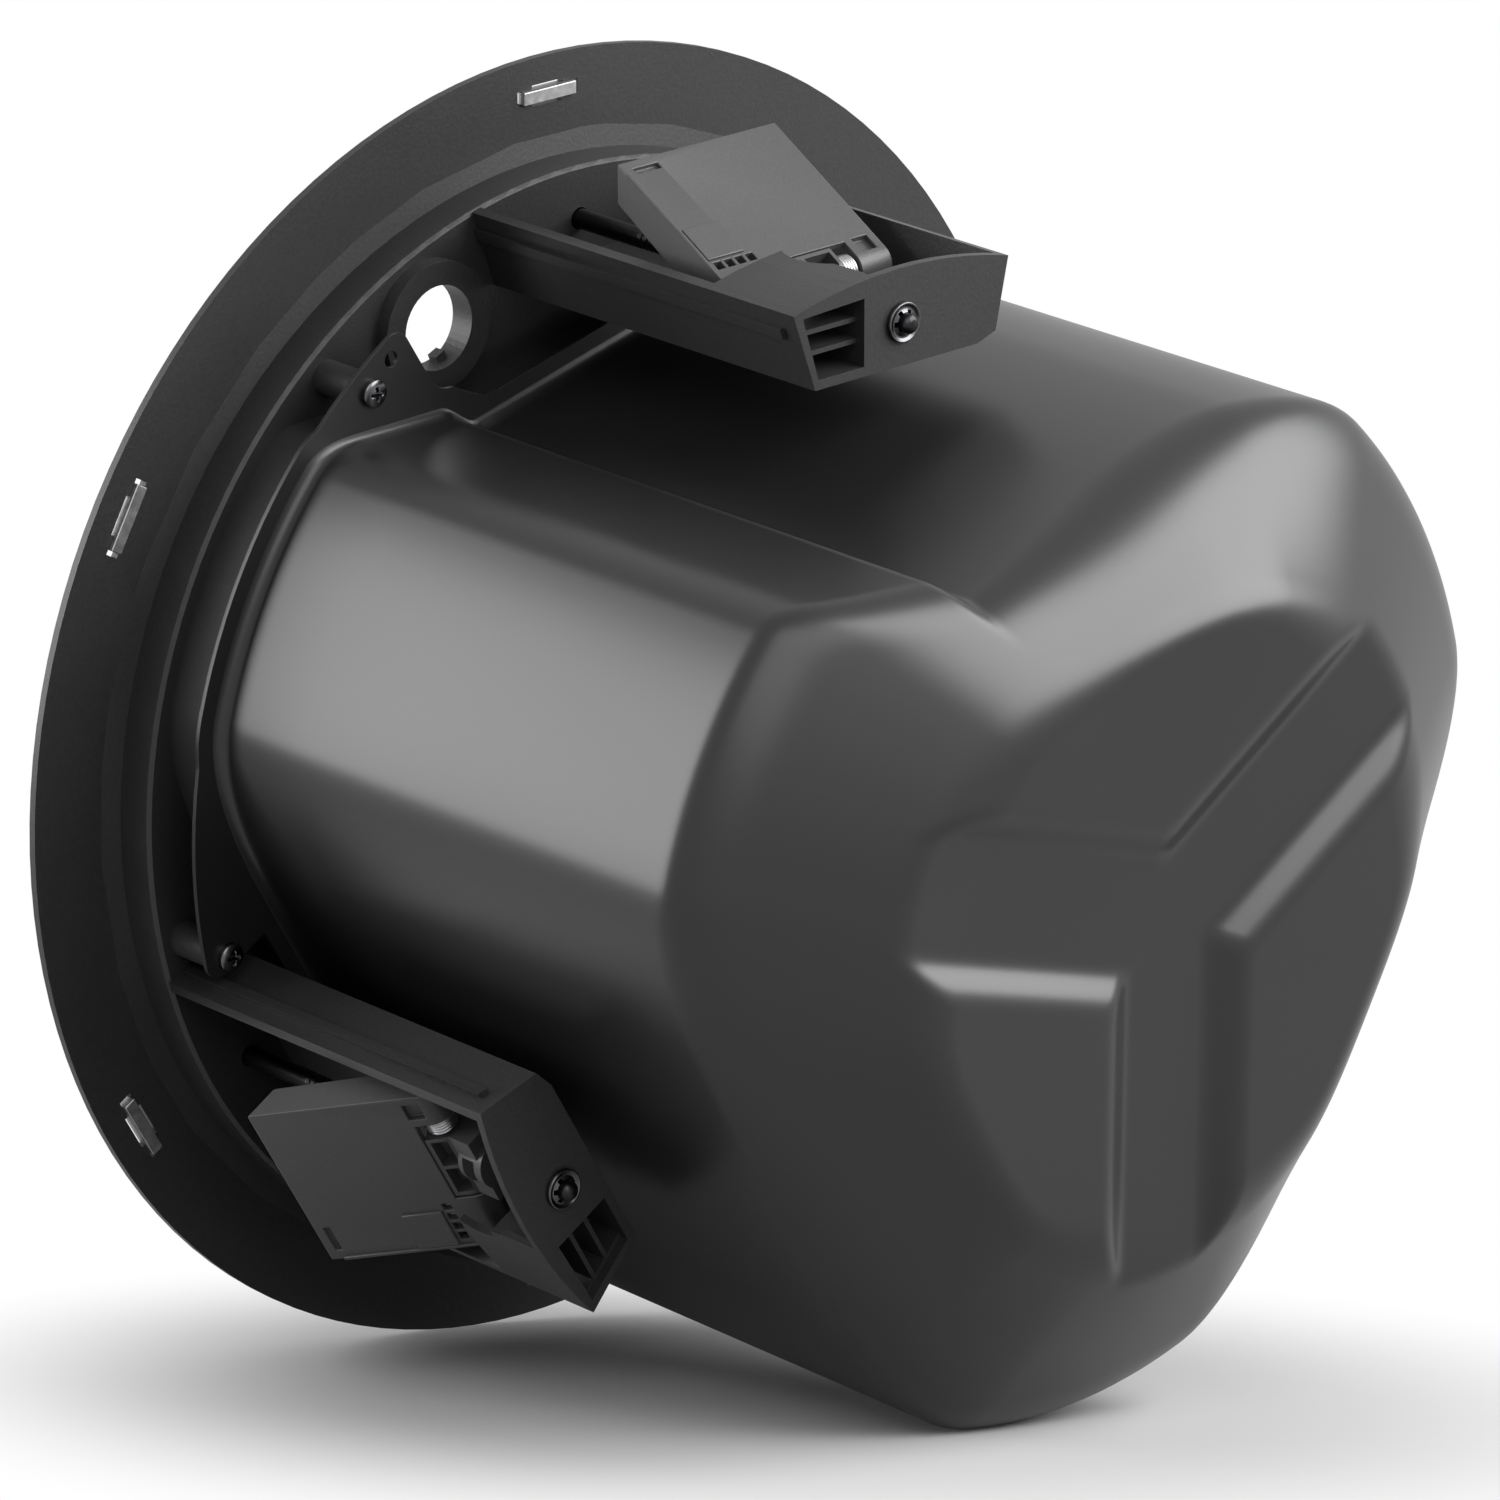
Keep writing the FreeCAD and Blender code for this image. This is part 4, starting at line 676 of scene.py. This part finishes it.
# The speaker lies on its flange's edge and on the can: a direction round its axis and a tilt.
REST_ANGLE, FLANGE_R, CAN_TOUCH_Z, FLOOR_GAP = 258.0, 165.0, 183.0, 0.0006
REST_TILT = math.atan2(FLANGE_R - LOBE_R, CAN_TOUCH_Z)
CENTRE = Vector((0, 0, 0.11))
rest = math.radians(REST_ANGLE)
FLOOR_NORMAL = Vector((-math.cos(rest) * math.cos(REST_TILT), -math.sin(rest) * math.cos(REST_TILT),
                       -math.sin(REST_TILT)))
touch = Vector((math.cos(rest) * FLANGE_R * MM, math.sin(rest) * FLANGE_R * MM, 0.0))
FLOOR_POINT = touch - FLOOR_NORMAL * FLOOR_GAP
FLOOR_MIDDLE = CENTRE + FLOOR_NORMAL * (FLOOR_POINT - CENTRE).dot(FLOOR_NORMAL)
plane("floor", FLOOR_POINT, FLOOR_NORMAL, 30.0, floor_material("floor_white", 0.4, FLOOR_MIDDLE, 0.1, 0.25))

CAM_PLACE = Vector((-1.4683, 0.8013, 1.6398))
CAM_X = Vector((0.72938, 0.00054, 0.68411))
CAM_Y = Vector((0.23772, 0.93749, -0.25418))
CAM_Z = Vector((-0.64148, 0.34802, 0.68365))


def softbox(name, azimuth, off_axis, distance, width, height, radiance):
    """Soft box off the camera's axis, turned to the object; azimuth runs anticlockwise from the right."""
    a, t = math.radians(azimuth), math.radians(off_axis)
    out = CAM_X * math.sin(t) * math.cos(a) + CAM_Y * math.sin(t) * math.sin(a) + CAM_Z * math.cos(t)
    data = bpy.data.lights.new(name, "AREA")
    data.shape = "RECTANGLE"
    data.size = width
    data.size_y = height
    data.energy = radiance * math.pi * width * height
    obj = bpy.data.objects.new(name, data)
    bpy.context.scene.collection.objects.link(obj)
    across = CAM_Z.cross(out).normalized()
    up = out.cross(across).normalized()
    place = CENTRE + out * distance
    obj.matrix_world = Matrix((
        (across.x, up.x, out.x, place.x),
        (across.y, up.y, out.y, place.y),
        (across.z, up.z, out.z, place.z),
        (0, 0, 0, 1)))


softbox("box_right", 33, 77, 1.4, 1.1, 1.5, 9.0)
softbox("box_left", 178, 90, 1.4, 1.8, 1.1, 6.8)
softbox("fill", 60, 24, 2.8, 2.4, 2.0, 2.6)

world = bpy.data.worlds.new("studio")
bpy.context.scene.world = world
world.use_nodes = True
WORLD_LIGHT = 0.25
ground = world.node_tree.nodes["Background"]
ground.inputs["Color"].default_value = (1, 1, 1, 1)
strength = span(world.node_tree, seen_directly(world.node_tree), WORLD_LIGHT, 1.0)
world.node_tree.links.new(strength, ground.inputs["Strength"])

camera_data = bpy.data.cameras.new("camera")
camera_data.lens = 226.04
camera_data.sensor_width = 36.0
camera_data.clip_start = 0.1
camera_data.clip_end = 50
camera = bpy.data.objects.new("camera", camera_data)
bpy.context.scene.collection.objects.link(camera)
camera.matrix_world = Matrix((
    (CAM_X.x, CAM_Y.x, CAM_Z.x, CAM_PLACE.x),
    (CAM_X.y, CAM_Y.y, CAM_Z.y, CAM_PLACE.y),
    (CAM_X.z, CAM_Y.z, CAM_Z.z, CAM_PLACE.z),
    (0, 0, 0, 1)))
bpy.context.scene.camera = camera
bpy.context.scene.view_settings.view_transform = "Standard"
